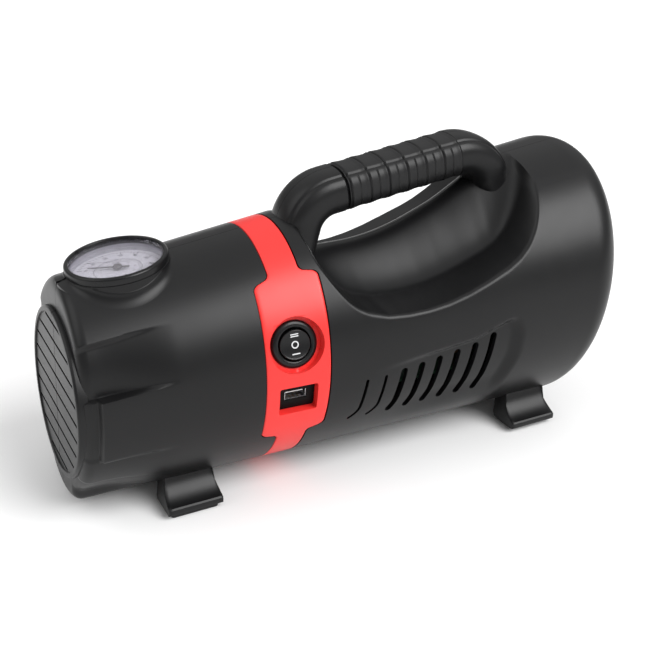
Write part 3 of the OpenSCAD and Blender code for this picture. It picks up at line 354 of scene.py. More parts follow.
# %% The finishes
shell_black = finish("shell_black", (0.006, 0.006, 0.0064), 0.35, grain=0.3, grain_size=0.5, spread=0.06,
                     specular=0.28)
inner_black = finish("inner_black", (0.012, 0.012, 0.013), 0.5, grain=0.3)
band_red = finish("band_red", (0.8, 0.03, 0.026), 0.36, grain=0.15, grain_size=0.5, mottle=0.03, spread=0.05,
                  specular=0.4)
grip_rubber = finish("grip_rubber", (0.007, 0.007, 0.0075), 0.45, grain=0.6, grain_size=0.35, specular=0.35)
pad_rubber = finish("pad_rubber", (0.012, 0.012, 0.012), 0.8, grain=0.5)
bezel_black = finish("bezel_black", (0.005, 0.005, 0.0055), 0.28, grain=0.1, spread=0.05, specular=0.3)
deep_black = finish("deep_black", (0.003, 0.003, 0.003), 0.6, grain=0.1, specular=0.12)
well_grey = finish("well_grey", (0.3, 0.29, 0.34), 0.45, grain=0.1)
dial_white = finish("dial_white", (0.56, 0.54, 0.62), 0.5, grain=0.05, mottle=0.02)
ink = finish("ink", (0.05, 0.045, 0.055), 0.6, mottle=0.2)
mark_grey = finish("mark_grey", (0.62, 0.63, 0.64), 0.5, mottle=0.04)
needle_dark = finish("needle_dark", (0.035, 0.028, 0.032), 0.4, mottle=0.1)
steel = finish("steel", (0.62, 0.62, 0.64), 0.28, metallic=1.0, grain=0.15, grain_size=0.3)
zinc = finish("zinc", (0.5, 0.5, 0.52), 0.35, metallic=1.0, grain=0.2, grain_size=0.3)
brass = finish("brass", (0.72, 0.5, 0.2), 0.3, metallic=1.0, grain=0.15)
copper = finish("copper", (0.65, 0.32, 0.18), 0.33, metallic=1.0, grain=0.1)
alloy = finish("alloy", (0.5, 0.51, 0.53), 0.5, metallic=1.0, grain=0.5, grain_size=0.8)
magnet = finish("magnet", (0.08, 0.08, 0.09), 0.6, grain=0.4)
board_green = finish("board_green", (0.012, 0.05, 0.025), 0.5, grain=0.1, second=(0.008, 0.035, 0.018))
gear_white = finish("gear_white", (0.78, 0.76, 0.7), 0.4, grain=0.1)
tongue_white = finish("tongue_white", (0.8, 0.8, 0.8), 0.4, grain=0.1)
seal_black = finish("seal_black", (0.012, 0.012, 0.012), 0.6, grain=0.2)
laminate = finish("laminate", (0.2, 0.17, 0.14), 0.5, grain=0.6, second=(0.35, 0.2, 0.1))
sleeve_blue = finish("sleeve_blue", (0.04, 0.06, 0.17), 0.3, mottle=0.1)

glass, glass_tree, glass_shader = new_material("gauge_glass", Transmission_Weight=1.0, IOR=1.45, Alpha=0.25)
glass_dust = add(glass_tree, "ShaderNodeTexNoise", {
    "Vector": add(glass_tree, "ShaderNodeTexCoord").outputs["Object"], "Scale": 220.0})
glass_gloss = add(glass_tree, "ShaderNodeMapRange", {
    "Value": glass_dust.outputs["Fac"], "To Min": 0.0, "To Max": 0.05})
glass_tree.links.new(glass_gloss.outputs["Result"], glass_shader.inputs["Roughness"])
print("finishes:", len(bpy.data.materials))

# %% [markdown]
# ## The nose
# The nose is a cup of plastic in two halves that meet on the middle plane. Behind
# its rim the sides are scooped: a flute under the shoulder, then a raised pad with
# rounded corners, then a lower scoop. A scoop is only a depth that is taken off the
# skin, faded out along the length, so the surface stays one smooth sheet. Stations
# are closer together where the form turns quickly.

# %% Nose forms
FLUTE = 5.0


def flute(x, a):
    """Depth of the scoops; their edges are given in degrees, and s is alike on both sides."""
    s = np.where(a > 90, 180 - a, a)
    slope = 1.6 - 1.0 * np.clip((s - 15) / 27, 0, 1)
    upper = step(s, 14.5, 16.5) * (1 - step(s, 41.5, 44.0)) * slope
    lower = step(-s, 17.5, 19.5) * (1 - step(-s, 60.0, 68.0)) * (0.7 + 0.4 * step(-s, 38.0, 42.0))
    fade = 1 - step(x, -164.0, -120.0)
    pad = (1 - step(x, -167.0, -164.5)) * step(s, -19.5, -17.5) * (1 - step(s, 14.5, 16.5)) * 0.85
    return FLUTE * (fade * (upper + lower) + pad)


def two_arcs(a, low, high, arc=0.47):
    """A step from 0 to 1 drawn with two quarter rounds and a short straight between them."""
    t = np.clip((a - low) / (high - low), 0, 1)
    straight = 1 - 2 * arc
    rise = arc * (1 - np.sqrt(1 - np.clip(t / arc, 0, 1) ** 2))
    fall = arc * (1 - np.sqrt(1 - np.clip((1 - t) / arc, 0, 1) ** 2))
    return rise + (arc - fall) + straight * np.clip((t - arc) / straight, 0, 1)


def panel_share(a):
    """1 where the band is as wide as the panel, 0 where it is a plain ring."""
    low = two_arcs(a, LOW_ANGLE - 3.4, LOW_ANGLE + 3.0)
    high = two_arcs(a, HIGH_ANGLE - 4.6, HIGH_ANGLE + 3.0)
    return np.where(a > 90, 0.0, low * (1 - high))


def band_half(a):
    return BAND_W / 2 + (PANEL_W - BAND_W) / 2 * panel_share(a)


def front_edge(a):
    return BAND_X - band_half(a)


def rear_edge(a):
    return BAND_X + band_half(a)


def shell_angles(far):
    """Angles of one half, closest where the band's shoulders and the flutes turn."""
    low, high = LOW_ANGLE, HIGH_ANGLE
    runs = [(-90, -70, 14), (-69, -36, 34), (-35.4, low - 4.2, 8), (low - 3.6, low + 3.2, 30),
            (low + 3.8, -14, 12), (-13, 13, 20), (14, 17.4, 7), (18.5, 39, 16), (40, 45, 9),
            (high - 4.8, high + 3.2, 34), (high + 4, 90, 26)]
    a = np.unique(np.round(np.concatenate([np.linspace(*run) for run in runs]), 4))
    return 180 - a if far else a


def nose_outer(a, t, extra=0.0):
    """A ring of the nose's skin at station t: 0 at the rim, 1 at the band's edge."""
    x = np.interp(t, NOSE_T, NOSE_X)
    edge = front_edge(a) - SEAM
    x = np.where(t > 0.6, x + (edge - (BAND_X - PANEL_W / 2)) * smooth((t - 0.6) / 0.4), x)
    return skin(x, a, flute(x, a) + extra)


NOSE_T = [0.0, 0.3, 0.6, 1.0]
NOSE_X = [-NOSE_LENGTH + NOSE_ROUND, -160.0, -112.0, BAND_X - PANEL_W / 2]


def nose_grid(a, inset):
    """Rings from the middle of the nose face out over the rim and along to the band."""
    rim = skin(-NOSE_LENGTH, a, NOSE_ROUND + flute(np.full_like(a, -NOSE_LENGTH), a))
    middle = skin(-NOSE_LENGTH, np.array([-90.0, 90.0]), NOSE_ROUND).mean(axis=0)
    rings = []
    for k in (0.02, 0.2, 0.4, 0.6, 0.75, 0.86, 0.94, 1.0):
        rings.append(middle + (rim - middle) * k + (np.array([inset, 0, 0]) if inset else 0))
    for t in (15, 30, 45, 60, 75, 90):
        x = -NOSE_LENGTH + NOSE_ROUND * (1 - math.cos(math.radians(t)))
        d = NOSE_ROUND * (1 - math.sin(math.radians(t)))
        p = skin(x, a, d + flute(np.full_like(a, x), a) + inset)
        p[:, 0] += inset * math.cos(math.radians(t))
        rings.append(p)
    for run in ((0.01, 0.3, 26), (0.3, 0.6, 30), (0.6, 1.0, 26)):
        rings += [nose_outer(a, t, inset) for t in np.linspace(*run)[1:]]
    return np.array(rings)


def seam_side(grid, far):
    """Holds one half clear of the middle plane, so that a fine seam shows."""
    grid = grid.copy()
    grid[..., 1] = np.maximum(grid[..., 1], HALF_SEAM) if far else np.minimum(grid[..., 1], -HALF_SEAM)
    return grid


def nose_half(name, far):
    a = shell_angles(far)
    outer = seam_side(nose_grid(a, 0.0), far)
    inner = seam_side(nose_grid(a, WALL), far)
    pts, faces = wall_mesh(outer, inner, turn=far)
    return clean(new_object(name, pts, faces), merge=2e-6)


nose_near = nose_half("nose_near", False)
nose_far = nose_half("nose_far", True)
print("nose halves:", len(nose_near.data.polygons), len(nose_far.data.polygons), "faces")

# %% [markdown]
# ## The intake grille
# The disc on the nose is a row of level slots. A Geometry Nodes tree makes the row
# of cutters: a line of points, one bar on each, stretched to the chord of the disc
# at its height. The real slots are cut through the disc and the wall behind it, so
# the fan can be seen. The count, pitch, width and radius are named inputs.

# %% Slot cutters from Geometry Nodes
def node_group(name, inputs):
    """A new tree with a geometry output and the named inputs, and the sockets of those."""
    tree = bpy.data.node_groups.new(name, "GeometryNodeTree")
    tree.interface.new_socket("Geometry", in_out="OUTPUT", socket_type="NodeSocketGeometry")
    for label, kind, value in inputs:
        socket = tree.interface.new_socket(label, in_out="INPUT", socket_type="NodeSocket" + kind)
        if value is not None:
            socket.default_value = value
    return tree, tree.nodes.new("NodeGroupInput").outputs


def math_node(tree, operation, first, second=None):
    values = {0: first} if second is None else {0: first, 1: second}
    return add(tree, "ShaderNodeMath", values, operation=operation).outputs[0]


def xyz(tree, **parts):
    return add(tree, "ShaderNodeCombineXYZ", parts).outputs[0]


def end_tree(tree, given, points, copied, **placing):
    """Puts a copy on every point, makes the copies real, paints them and closes the tree."""
    spread = add(tree, "GeometryNodeInstanceOnPoints", {"Points": points, "Instance": copied, **placing})
    real = add(tree, "GeometryNodeRealizeInstances", {0: spread.outputs[0]})
    paint = add(tree, "GeometryNodeSetMaterial", {"Geometry": real.outputs[0], "Material": given["Material"]})
    add(tree, "NodeGroupOutput", {0: paint.outputs[0]})


def run_tree(tree, name, values, start=None):
    """Evaluates a tree, on an empty mesh or the given one, and leaves a plain mesh object."""
    obj = start or new_object(name, np.zeros((0, 3)), [])
    mod = obj.modifiers.new("tree", "NODES")
    mod.node_group = tree
    for item in tree.interface.items_tree:
        if item.item_type == "SOCKET" and item.in_out == "INPUT" and item.name in values:
            mod[item.identifier] = values[item.name]
    apply_modifiers(obj)
    return obj


slot_tree, given = node_group("slot_cutters", [
    ("Count", "Int", 9), ("Pitch", "Float", 0.0105), ("Width", "Float", 0.0017),
    ("Radius", "Float", 0.0455), ("Depth", "Float", 0.024), ("Material", "Material", None)])
half_row = math_node(slot_tree, "MULTIPLY", math_node(slot_tree, "SUBTRACT", given["Count"], 1.0), -0.5)
line = add(slot_tree, "GeometryNodeMeshLine", {
    "Count": given["Count"], "Offset": xyz(slot_tree, Z=given["Pitch"]),
    "Start Location": xyz(slot_tree, Z=math_node(slot_tree, "MULTIPLY", half_row, given["Pitch"]))})
bar = add(slot_tree, "GeometryNodeMeshCube")
position = add(slot_tree, "GeometryNodeInputPosition").outputs[0]
height = math_node(slot_tree, "ABSOLUTE", add(slot_tree, "ShaderNodeSeparateXYZ", {0: position}).outputs["Z"])
square = math_node(slot_tree, "SUBTRACT", math_node(slot_tree, "POWER", given["Radius"], 2.0),
                   math_node(slot_tree, "POWER", height, 2.0))
chord = math_node(slot_tree, "MULTIPLY", math_node(slot_tree, "SQRT", square), 2.0)
end_tree(slot_tree, given, line.outputs[0], bar.outputs[0],
         Scale=xyz(slot_tree, X=given["Depth"], Y=chord, Z=given["Width"]))

NOSE_TURN = Matrix.Rotation(math.atan(NOSE_LEAN), 4, "Y")
FACE_Z = float(centre_z(-NOSE_LENGTH))
GRILLE_R = 50.0
GRILLE_PROUD = 2.5
GRILLE_ROUND = 1.6
GRILLE_SEAM = 0.25
FAR_AWAY = 400


def at_nose(x=0.0):
    """The frame of the nose face: -X leaves the face, Z is up along it."""
    face = Matrix.Translation((-NOSE_LENGTH * MM, 0, FACE_Z * MM))
    return face @ NOSE_TURN @ Matrix.Translation((x * MM, 0, 0))


slot_values = {"Count": 9, "Pitch": 10.5 * MM, "Width": 1.7 * MM, "Radius": 45.5 * MM, "Depth": 24 * MM,
               "Material": shell_black}
disc_profile = [(0.0, 4.0), (GRILLE_R, 4.0)]
for t in range(0, 91, 18):
    c, s = math.cos(math.radians(t)), math.sin(math.radians(t))
    disc_profile.append((GRILLE_R - GRILLE_ROUND * (1 - c), -GRILLE_PROUD + GRILLE_ROUND * (1 - s)))
disc_profile += [(46.6, -GRILLE_PROUD), (46.2, -GRILLE_PROUD + 0.9), (0.0, -GRILLE_PROUD + 0.9)]
grille = []
for far, half in ((False, nose_near), (True, nose_far)):
    disc = lathe("grille_far" if far else "grille_near", disc_profile, 144)
    place(disc, at_nose() @ Matrix.Rotation(math.pi / 2, 4, "Y"))
    low, high = (GRILLE_SEAM, FAR_AWAY) if far else (-FAR_AWAY, -GRILLE_SEAM)
    side = [(-FAR_AWAY, low), (FAR_AWAY, low), (FAR_AWAY, high), (-FAR_AWAY, high)]
    cut(disc, extrude("side", side, -300, 500), operation="INTERSECT")
    for target in (half, disc):
        cutter = run_tree(slot_tree, "slots", slot_values)
        place(cutter, at_nose())
        cut(target, cutter)
    grille.append(disc)
print("grille faces:", [len(g.data.polygons) for g in grille])

# %% [markdown]
# ## The large end and its hand hollow
# The large end carries the handle over a hollow that a hand reaches into. A ring of
# the skin runs up the side to the rim of the hollow, turns over a small rounded
# edge, and then runs down the floor and up to the crest under the handle. Where the
# hollow fades out, the same ring is a plain oval, so the whole end is one sheet.
# The side also has a shallow leaf-shaped scoop round the cooling vents.

# %% The hollow's formulas
CREST = np.array([(-14, 134.5), (11, 134.8), (23, 136.2), (34, 138.5), (46, 142.1), (57, 146.4), (69, 151.4),
                  (81, 158.6), (95, 168), (120, 178)], float)
RIM = np.array([
    (-36, 60), (-33.7, 52), (-28.3, 42), (-24.1, 35.6), (-19.3, 30), (-14, 26), (-8, 23), (4, 19.5), (17, 18),
    (30, 17.5), (43, 18), (57, 19.7), (71, 22.5), (85, 26), (93, 29), (101, 33.7), (107.6, 40), (113, 48),
    (118, 60)], float)
HOLLOW_START, HOLLOW_RUN_IN = -36.0, 9.0
HOLLOW_CLOSING, HOLLOW_END = 92.0, 118.0
FLAT_SHARE = 0.42
FLOOR_WALL = 1.35 * WALL


def smoothed(table, x, spread=2.0):
    """Reads a table with its corners rounded off."""
    shifts = np.linspace(-spread, spread, 9)
    return np.mean([np.interp(np.asarray(x) + s, table[:, 0], table[:, 1]) for s in shifts], axis=0)


def hollow(x):
    """1 where the hollow is open, falling to 0 before and behind it."""
    closing = min(max((x - HOLLOW_CLOSING) / (HOLLOW_END - HOLLOW_CLOSING), 0), 1)
    return float(smooth((x - HOLLOW_START) / HOLLOW_RUN_IN) * math.sqrt(max(0.0, 1 - closing ** 2)))


def core_share(u):
    """The floor's rise: nearly flat inside the rim, then a slope up to the crest."""
    return 0.12 * u + 0.88 * smooth((u - FLAT_SHARE) / (1 - FLAT_SHARE))


def floor_points(x, u, xs=None, t=0.0):
    """The hollow's floor at station x: u = 0 at the rim, 1 under the handle."""
    xs = x if xs is None else xs
    a = float(smoothed(RIM, xs))
    w = hollow(xs)
    edge = skin(x, a)
    oval = skin(x, a + u * (90 - a), t)
    crest = min(float(smoothed(CREST, xs, 5.0)), float(centre_z(x) + half_h(x)))
    out = oval.copy()
    out[:, 1] = oval[:, 1] * (1 - w) + edge[1] * (1 - u) * w
    out[:, 2] = oval[:, 2] * (1 - w) + (edge[2] + (crest - edge[2]) * core_share(u) - t) * w
    return out


LEAF_TOP = np.array([(-5, 80), (16, 82.7), (62.7, 87.7), (80.4, 94.4), (88, 96.7)], float)
LEAF_END = np.array([(46.5, 93), (67.8, 98), (87, 97.7), (96, 92)], float)


def leaf(p):
    """Depth of the scoop round the vents."""
    x, z = p[:, 0], p[:, 2]
    top = step(smoothed(LEAF_TOP, x, 6.0) - z, 0.0, 5.0)
    end = step(smoothed(LEAF_END, z, 4.0) - x, 0.0, 9.0)
    return 3.8 * top * end * step(x, -10.0, 55.0) * step(z, 28.0, 50.0)


def end_ring(x, side_count=150, edge_count=9, floor_count=44):
    """Half a ring of the skin, from the bottom up the near side and over the hollow."""
    a = float(smoothed(RIM, x))
    turn = 2.8
    angles = np.linspace(-90, a - math.degrees(turn / float(half_h(x))), side_count)
    side = skin(x, angles, leaf(skin(x, angles)))
    edge = skin(x, a)
    u0 = turn / max(abs(edge[1]), 20.0)
    floor = floor_points(x, np.linspace(u0, 1, floor_count))
    t = np.linspace(0, 1, edge_count + 2)[1:-1, None]
    turn_over = (1 - t) ** 2 * side[-1] + 2 * t * (1 - t) * edge + t ** 2 * floor[0]
    ring = np.concatenate([side, turn_over, floor])
    ring[0, 1] = 0
    ring[-1, 1] = 0
    return ring


def cavity_ring(x, count, floor_count=40):
    """The inner face of the wall at the same station, with as many points."""
    xs = x + WALL * float(np.interp(x, [-20, 10, 70, 92], [1, 0, 0, -1]))
    a = float(smoothed(RIM, xs))
    lx = x + float(lean(x)) * float(half_h(x)) * math.sin(math.radians(a))
    h = float(half_h(lx))
    low = math.degrees(math.asin(min(h * math.sin(math.radians(a)) - FLOOR_WALL, h - WALL) / (h - WALL)))
    top = (a - 2) + (low - a + 2) * hollow(xs)
    angles = np.linspace(-90, top, count - floor_count)
    side = skin(x, angles, WALL + leaf(skin(x, angles)))
    floor = floor_points(x, np.linspace(0.1, 1, floor_count), xs, FLOOR_WALL)
    ring = np.concatenate([side, floor])
    ring[0, 1] = 0
    ring[-1, 1] = 0
    return ring


def angles_of(ring):
    """Each point's angle on the section it lies on."""
    return np.degrees(np.arctan2(ring[:, 2] - centre_z(ring[:, 0]), -ring[:, 1] / SECTION_RATIO))


def carried_round(ring, t, wall=0.0):
    """Carries the last straight ring round the shoulder of the large end."""
    r = REAR_ROUND - wall
    s, c = math.sin(math.radians(t)), math.cos(math.radians(t))
    return skin(REAR_LENGTH - REAR_ROUND + r * s, angles_of(ring), wall + r * (1 - c))


# %% The two halves of the large end
def end_half(name, far):
    """Rings up to the shoulder, over it, and inwards across the end face."""
    runs = ((-52, -38, 8), (-37.2, -8, 38), (-6, REAR_LENGTH - REAR_ROUND, 118))
    stations = np.concatenate([np.linspace(*run) for run in runs])
    outer = [end_ring(x) for x in stations]
    inner = [cavity_ring(x, len(outer[0])) for x in stations]
    last = skin(REAR_LENGTH - REAR_ROUND, angles_of(outer[-2]))
    outer[-1] = last
    for t in np.linspace(6, 90, 15):
        outer.append(carried_round(last, t))
        inner.append(carried_round(last, t, WALL))
    face = outer[-1].copy()
    middle = np.array([face[:, 0].mean(), 0.0, float(centre_z(REAR_LENGTH))])
    for k in (0.95, 0.88, 0.8, 0.72, 0.64):
        ring = middle + (face - middle) * k
        ring[:, 0] = REAR_LENGTH + REAR_LEAN * (ring[:, 2] - middle[2])
        outer.append(ring)
        inner.append(ring - np.array([WALL, 0, 0]))
    outer, inner = np.array(outer), np.array(inner)
    if far:
        outer[..., 1] *= -1
        inner[..., 1] *= -1
    outer, inner = seam_side(outer, far), seam_side(inner, far)
    pts, faces = wall_mesh(outer, inner, turn=far)
    return clean(new_object(name, pts, faces), merge=2e-6)


end_near = end_half("end_near", False)
end_far = end_half("end_far", True)
print("large end:", len(end_near.data.polygons), "faces a half")

# %% [markdown]
# ## Cutting the seat of the band, the cover bore and the vents
# The red band sits in a gap between the nose and the large end. The gap's outline
# is wider on the control side, so the large end is cut by a solid whose end face
# follows that outline. The vents are narrow slots that lean a little and curl at
# the foot. Each is swept as one closed cutter.

# %% Cuts
def lofted(name, rings):
    """Closed solid through rings of points, with a fan over each end."""
    rings = np.asarray(rings, float)
    m, n = rings.shape[:2]
    pts = np.concatenate([rings.reshape(-1, 3), [rings[0].mean(axis=0)], [rings[-1].mean(axis=0)]])
    faces = []
    for i in range(m - 1):
        for j in range(n):
            k = (j + 1) % n
            faces.append((i * n + j, i * n + k, (i + 1) * n + k, (i + 1) * n + j))
    for j in range(n):
        k = (j + 1) % n
        faces.append((m * n, k, j))
        faces.append((m * n + 1, (m - 1) * n + j, (m - 1) * n + k))
    return clean(new_object(name, pts, faces))


def band_seat():
    half = shell_angles(False)
    around = np.concatenate([half, (180 - half[::-1])[1:-1]])
    edge = rear_edge(around) + SEAM
    start = np.full_like(around, -80.0)
    return lofted("seat", [skin(start, around, -8.0), skin(edge, around, -8.0), skin(edge, around, 20.0)])


def at_end(x=0.0):
    """The frame of the large end's face: +X leaves the face."""
    return (Matrix.Translation((REAR_LENGTH * MM, 0, float(centre_z(REAR_LENGTH)) * MM)) @
            Matrix.Rotation(math.atan(REAR_LEAN), 4, "Y") @ Matrix.Translation((x * MM, 0, 0)))


def turned_disc(name, radius, x0, x1, frame_at, steps=144):
    disc = lathe(name, [(0, x0), (radius, x0), (radius, x1), (0, x1)], steps)
    return place(disc, frame_at @ Matrix.Rotation(math.pi / 2, 4, "Y"))


VENT_COUNT, VENT_X, VENT_PITCH, VENT_FOOT = 8, -13.0, 12.4, 45.0
VENT_HIGH, VENT_LEAN = 27.5, 3.0


def vent_cutter(i, far):
    """The first two vents are narrow, the last reaches a little higher."""
    width, curl = (2.0, 5.0) if i < 2 else (4.6, 2.2)
    w = width / 2
    high = VENT_HIGH + 0.2 * i * i + (2 if i == VENT_COUNT - 1 else 0)
    t = np.linspace(0, 1, 15)
    hook = curl * (1 - np.clip(t / 0.3, 0, 1)) ** 2
    path = np.stack([VENT_X + i * VENT_PITCH + VENT_LEAN * t - hook, VENT_FOOT + high * t], axis=-1)
    along = np.gradient(path, axis=0)
    along /= np.linalg.norm(along, axis=1)[:, None]
    across = np.stack([-along[:, 1], along[:, 0]], axis=-1)

    def cap(centre, out, side):
        turns = np.linspace(0.3, math.pi - 0.3, 5)
        return [centre + w * (math.cos(q) * side + math.sin(q) * out) for q in turns]

    outline = list(path + across * w) + cap(path[-1], along[-1], across[-1])
    outline += list((path - across * w)[::-1]) + cap(path[0], -along[0], -across[0])
    solid = extrude("vent", [tuple(p) for p in outline], -120, -30)
    # The outline is in x and z, the sweep along y.
    place(solid, Matrix(((1, 0, 0, 0), (0, 0, 1, 0), (0, 1, 0, 0), (0, 0, 0, 1))))
    if far:
        place(solid, Matrix.Scale(-1, 4, (0, 1, 0)))
    return clean(solid)


for far, half in ((False, end_near), (True, end_far)):
    cut(half, band_seat())
    cut(half, turned_disc("bore", 46.0, -3.0, 60.0, at_end()))
    cut(half, turned_disc("bore", 43.0, -30.0, 60.0, at_end()))
    cut(half, join("vents", [vent_cutter(i, far) for i in range(VENT_COUNT)]))
print("large end after the cuts:", len(end_near.data.polygons), len(end_far.data.polygons), "faces")

# %% [markdown]
# ## The handle
# The handle is a bow, one piece made of two halves: it leaves the shoulder behind
# the band, runs over the hollow and comes down into the large end. Its section is
# flat on top and round below, with a long crease where the two meet. A section like
# that is a superellipse, swept along the bow; the crease is a fine valley in it.
# Both roots swell a little, as a moulded root does.

# %% Handle path and section
HANDLE_W, HANDLE_H = 34.0, 27.0
SUPER_POWER = 0.78
RISE = 7.8
GRIP_X0, GRIP_X1, GRIP_Z = -6.5, 80.0, 169.5
FRONT_BEND, REAR_BEND = 23.0, 26.0
FRONT_RISE, REAR_FALL = 80.0, 70.0
FRONT_ROOT, REAR_ROOT = (-31.0, 134.0), (121.0, 143.0)
FRONT_SWELL, REAR_SWELL = 0.16, 0.3
SLEEVE_DEEP = 2.0


def grip_z(x):
    return GRIP_Z + math.tan(math.radians(RISE)) * x


def bend(centre, radius, t):
    """The point of a bend that lies t degrees behind its top."""
    return centre[0] + radius * math.sin(math.radians(t)), centre[1] + radius * math.cos(math.radians(t))


def handle_path():
    """Stations of the bow: x, z, rise of the path in degrees, and swell of the section."""
    front = bend((GRIP_X0, grip_z(GRIP_X0)), -FRONT_BEND, -RISE)
    rear = bend((GRIP_X1, grip_z(GRIP_X1)), -REAR_BEND, -RISE)
    (x0, z0), (x1, z1) = FRONT_ROOT, bend(front, FRONT_BEND, -FRONT_RISE)
    out = [(x0 + (x1 - x0) * t, z0 + (z1 - z0) * t, FRONT_RISE, 1 + FRONT_SWELL * (1 - t) ** 2)
           for t in np.linspace(0, 1, 10)[:-1]]
    out += [(*bend(front, FRONT_BEND, -t), t, 1) for t in np.linspace(FRONT_RISE, RISE, 20)]
    out += [(x, grip_z(x), RISE, 1) for x in np.linspace(GRIP_X0, GRIP_X1, 40)[1:-1]]
    out += [(*bend(rear, REAR_BEND, t), -t, 1) for t in np.linspace(-RISE, REAR_FALL, 22)]
    (x0, z0), (x1, z1) = out[-1][:2], REAR_ROOT
    out += [(x0 + (x1 - x0) * t, z0 + (z1 - z0) * t, -REAR_FALL, 1 + REAR_SWELL * t * t)
            for t in np.linspace(0, 1, 10)[1:]]
    return out


def crease(q):
    """Depth of the long valley where the flat top meets the round side."""
    q = np.asarray(q)
    return 0.75 * np.exp(-((q - 131.0) / 5.0) ** 2) + 0.75 * np.exp(-((q - 49.0) / 5.0) ** 2)


def handle_section(x, z, rise, q, d=0.0, swell=1.0):
    """Points round the section; q = 90 is the top and 180 the near side."""
    r = math.radians(rise)
    c, s = np.cos(np.radians(q)), np.sin(np.radians(q))
    d = d + crease(q)
    y = (HANDLE_W / 2 * swell - d) * np.sign(c) * np.abs(c) ** SUPER_POWER
    h = (HANDLE_H / 2 - d) * np.sign(s) * np.abs(s) ** SUPER_POWER
    return np.stack([x - h * math.sin(r), y, z + h * math.cos(r)], axis=-1)


def handle_half(name, far):
    q = np.concatenate([np.linspace(90, 122, 9), np.linspace(124, 138, 9), np.linspace(141, 270, 34)])
    rings = []
    for x, z, rise, swell in handle_path():
        covered = 2.0 <= x <= 79.5 and abs(rise - RISE) < 0.01
        ring = handle_section(x, z, rise, q, SLEEVE_DEEP if covered else 0.0, swell)
        if far:
            ring[:, 1] *= -1
        rings.append(seam_side(ring, far))
    return lofted(name, rings)


handles = {False: handle_half("handle_near", False), True: handle_half("handle_far", True)}
print("handle stations:", len(handle_path()))

# %% [markdown]
# ## The grip
# A soft sleeve is moulded over the straight run. It is ribbed for the fingers: each
# rib starts at a deep groove, swells and falls away, with one fine line half way.
# The grooves sit at an even pitch, so their depth is a function of the distance
# along the sleeve, and the sleeve is one dense tube displaced by it.

# %% The grip sleeve
RIB_PITCH = 12.8
RIB_START = 3.4


def closed_tube(name, outer, inner):
    """A wall round an opening: rings along the outside and back along the inside."""
    loop = np.concatenate([outer, inner[::-1]])
    total, n = loop.shape[:2]
    faces = []
    for i in range(total):
        k = (i + 1) % total
        for j in range(n):
            l = (j + 1) % n
            faces.append((i * n + j, i * n + l, k * n + l, k * n + j))
    return clean(new_object(name, loop.reshape(-1, 3), faces))


def rib_depth(x, q):
    """Depth of the ribs at x; u runs from 0 to 1 along each rib."""
    u = ((x - RIB_START) / RIB_PITCH) % 1.0
    near_groove = min(u, 1 - u) * RIB_PITCH
    dip = 0.5 * smooth(u / 0.6) * (1 - smooth((u - 0.72) / 0.28))
    groove = 0.9 * math.exp(-(near_groove / 0.55) ** 2)
    on_side = np.clip((np.abs(np.asarray(q) - 90) - 44) / 6, 0, 1)
    fine = 0.4 * math.exp(-((u - 0.48) * RIB_PITCH / 0.35) ** 2) * on_side
    return dip + groove + fine


def grip_sleeve():
    q = np.concatenate([np.linspace(270, 141, 34), np.linspace(138, 124, 8), np.linspace(122, 58, 17),
                        np.linspace(56, 42, 8), np.linspace(39, -84, 32)])
    outer, inner = [], []
    for x in np.arange(2.1, 80.2, 0.27):
        from_end = min(1, min(x - 2.0, 80.3 - x) / 0.8)
        end = 0.7 * (1 - math.sqrt(max(0, 1 - (1 - from_end) ** 2)))
        outer.append(handle_section(x, grip_z(x), RISE, q, rib_depth(x, q) + end))
        inner.append(handle_section(x, grip_z(x), RISE, q, np.full_like(q, SLEEVE_DEEP - 0.1)))
    return closed_tube("grip_sleeve", outer, inner)


grip = finish_piece(grip_sleeve(), grip_rubber, ["handle_grip"], angle=50)
print("grip faces:", len(grip.data.polygons))

# %% [markdown]
# ## Feet and the gauge's collar
# Four feet carry the drum. Each is a block whose side curves in under the drum and
# flares to a thick lip at the floor. The collar is a skirt that grows out of the
# nose and rings the gauge. Both are closed solids that sink into the shell's wall.

# %% Feet and collar
FOOT_PROFILE = [
    (27, 30), (25, 18), (23, 6), (22, 3.0), (1.2, 3.0), (0.3, 3.5), (0, 4.4), (0, 7.0), (0.7, 7.9),
    (3.0, 8.6), (6.0, 10.2), (8.8, 12.6), (11.2, 15.4), (13.0, 18.6), (14.2, 22.5), (14.8, 27), (15, 31)]
FRONT_FOOT, REAR_FOOT, REAR_PAD = (-113, 49), (124, 57.5), (124, 55)
FOOT_BASE, FOOT_HALF, FOOT_FLARE, FOOT_ROUND = 3.0, 14.2, 2.8, 0.9


def foot(place_at, far):
    """Slices of the profile from one end of the foot to the other, with rounded ends."""
    cx, y0 = place_at
    rings = []
    for s in (-1.0, -0.985, -0.95, -0.85, -0.5, 0, 0.5, 0.85, 0.95, 0.985, 1.0):
        edge = FOOT_ROUND * (1 - math.sqrt(max(0.0, 1 - max(0.0, (abs(s) - 0.94) / 0.06) ** 2)))
        ring = []
        for y, z in FOOT_PROFILE:
            flare = FOOT_HALF + FOOT_FLARE * (1 - float(smooth((z - 6.0) / 17.0)))
            low = max(FOOT_BASE, z - edge * (0.6 if z < 12 else 0))
            ring.append((cx + s * flare, -(y0 - y) + edge * (1 if y < 12 else -1), low))
        rings.append(ring)
    rings = np.array(rings)
    if far:
        rings[..., 1] *= -1
    return lofted("foot", rings)


GAUGE_X, GAUGE_Z, GAUGE_LEAN = -135.9, 149.0, math.radians(6.3)
GAUGE_AT = Matrix.Translation((GAUGE_X * MM, 0, GAUGE_Z * MM)) @ Matrix.Rotation(-GAUGE_LEAN, 4, "Y")
COLLAR_R, COLLAR_REACH, COLLAR_TOP = 29.7, 5.0, -4.25
BORE_R = 27.6
HOLE_R, SCREW_DEEP = 3.5, 9.0


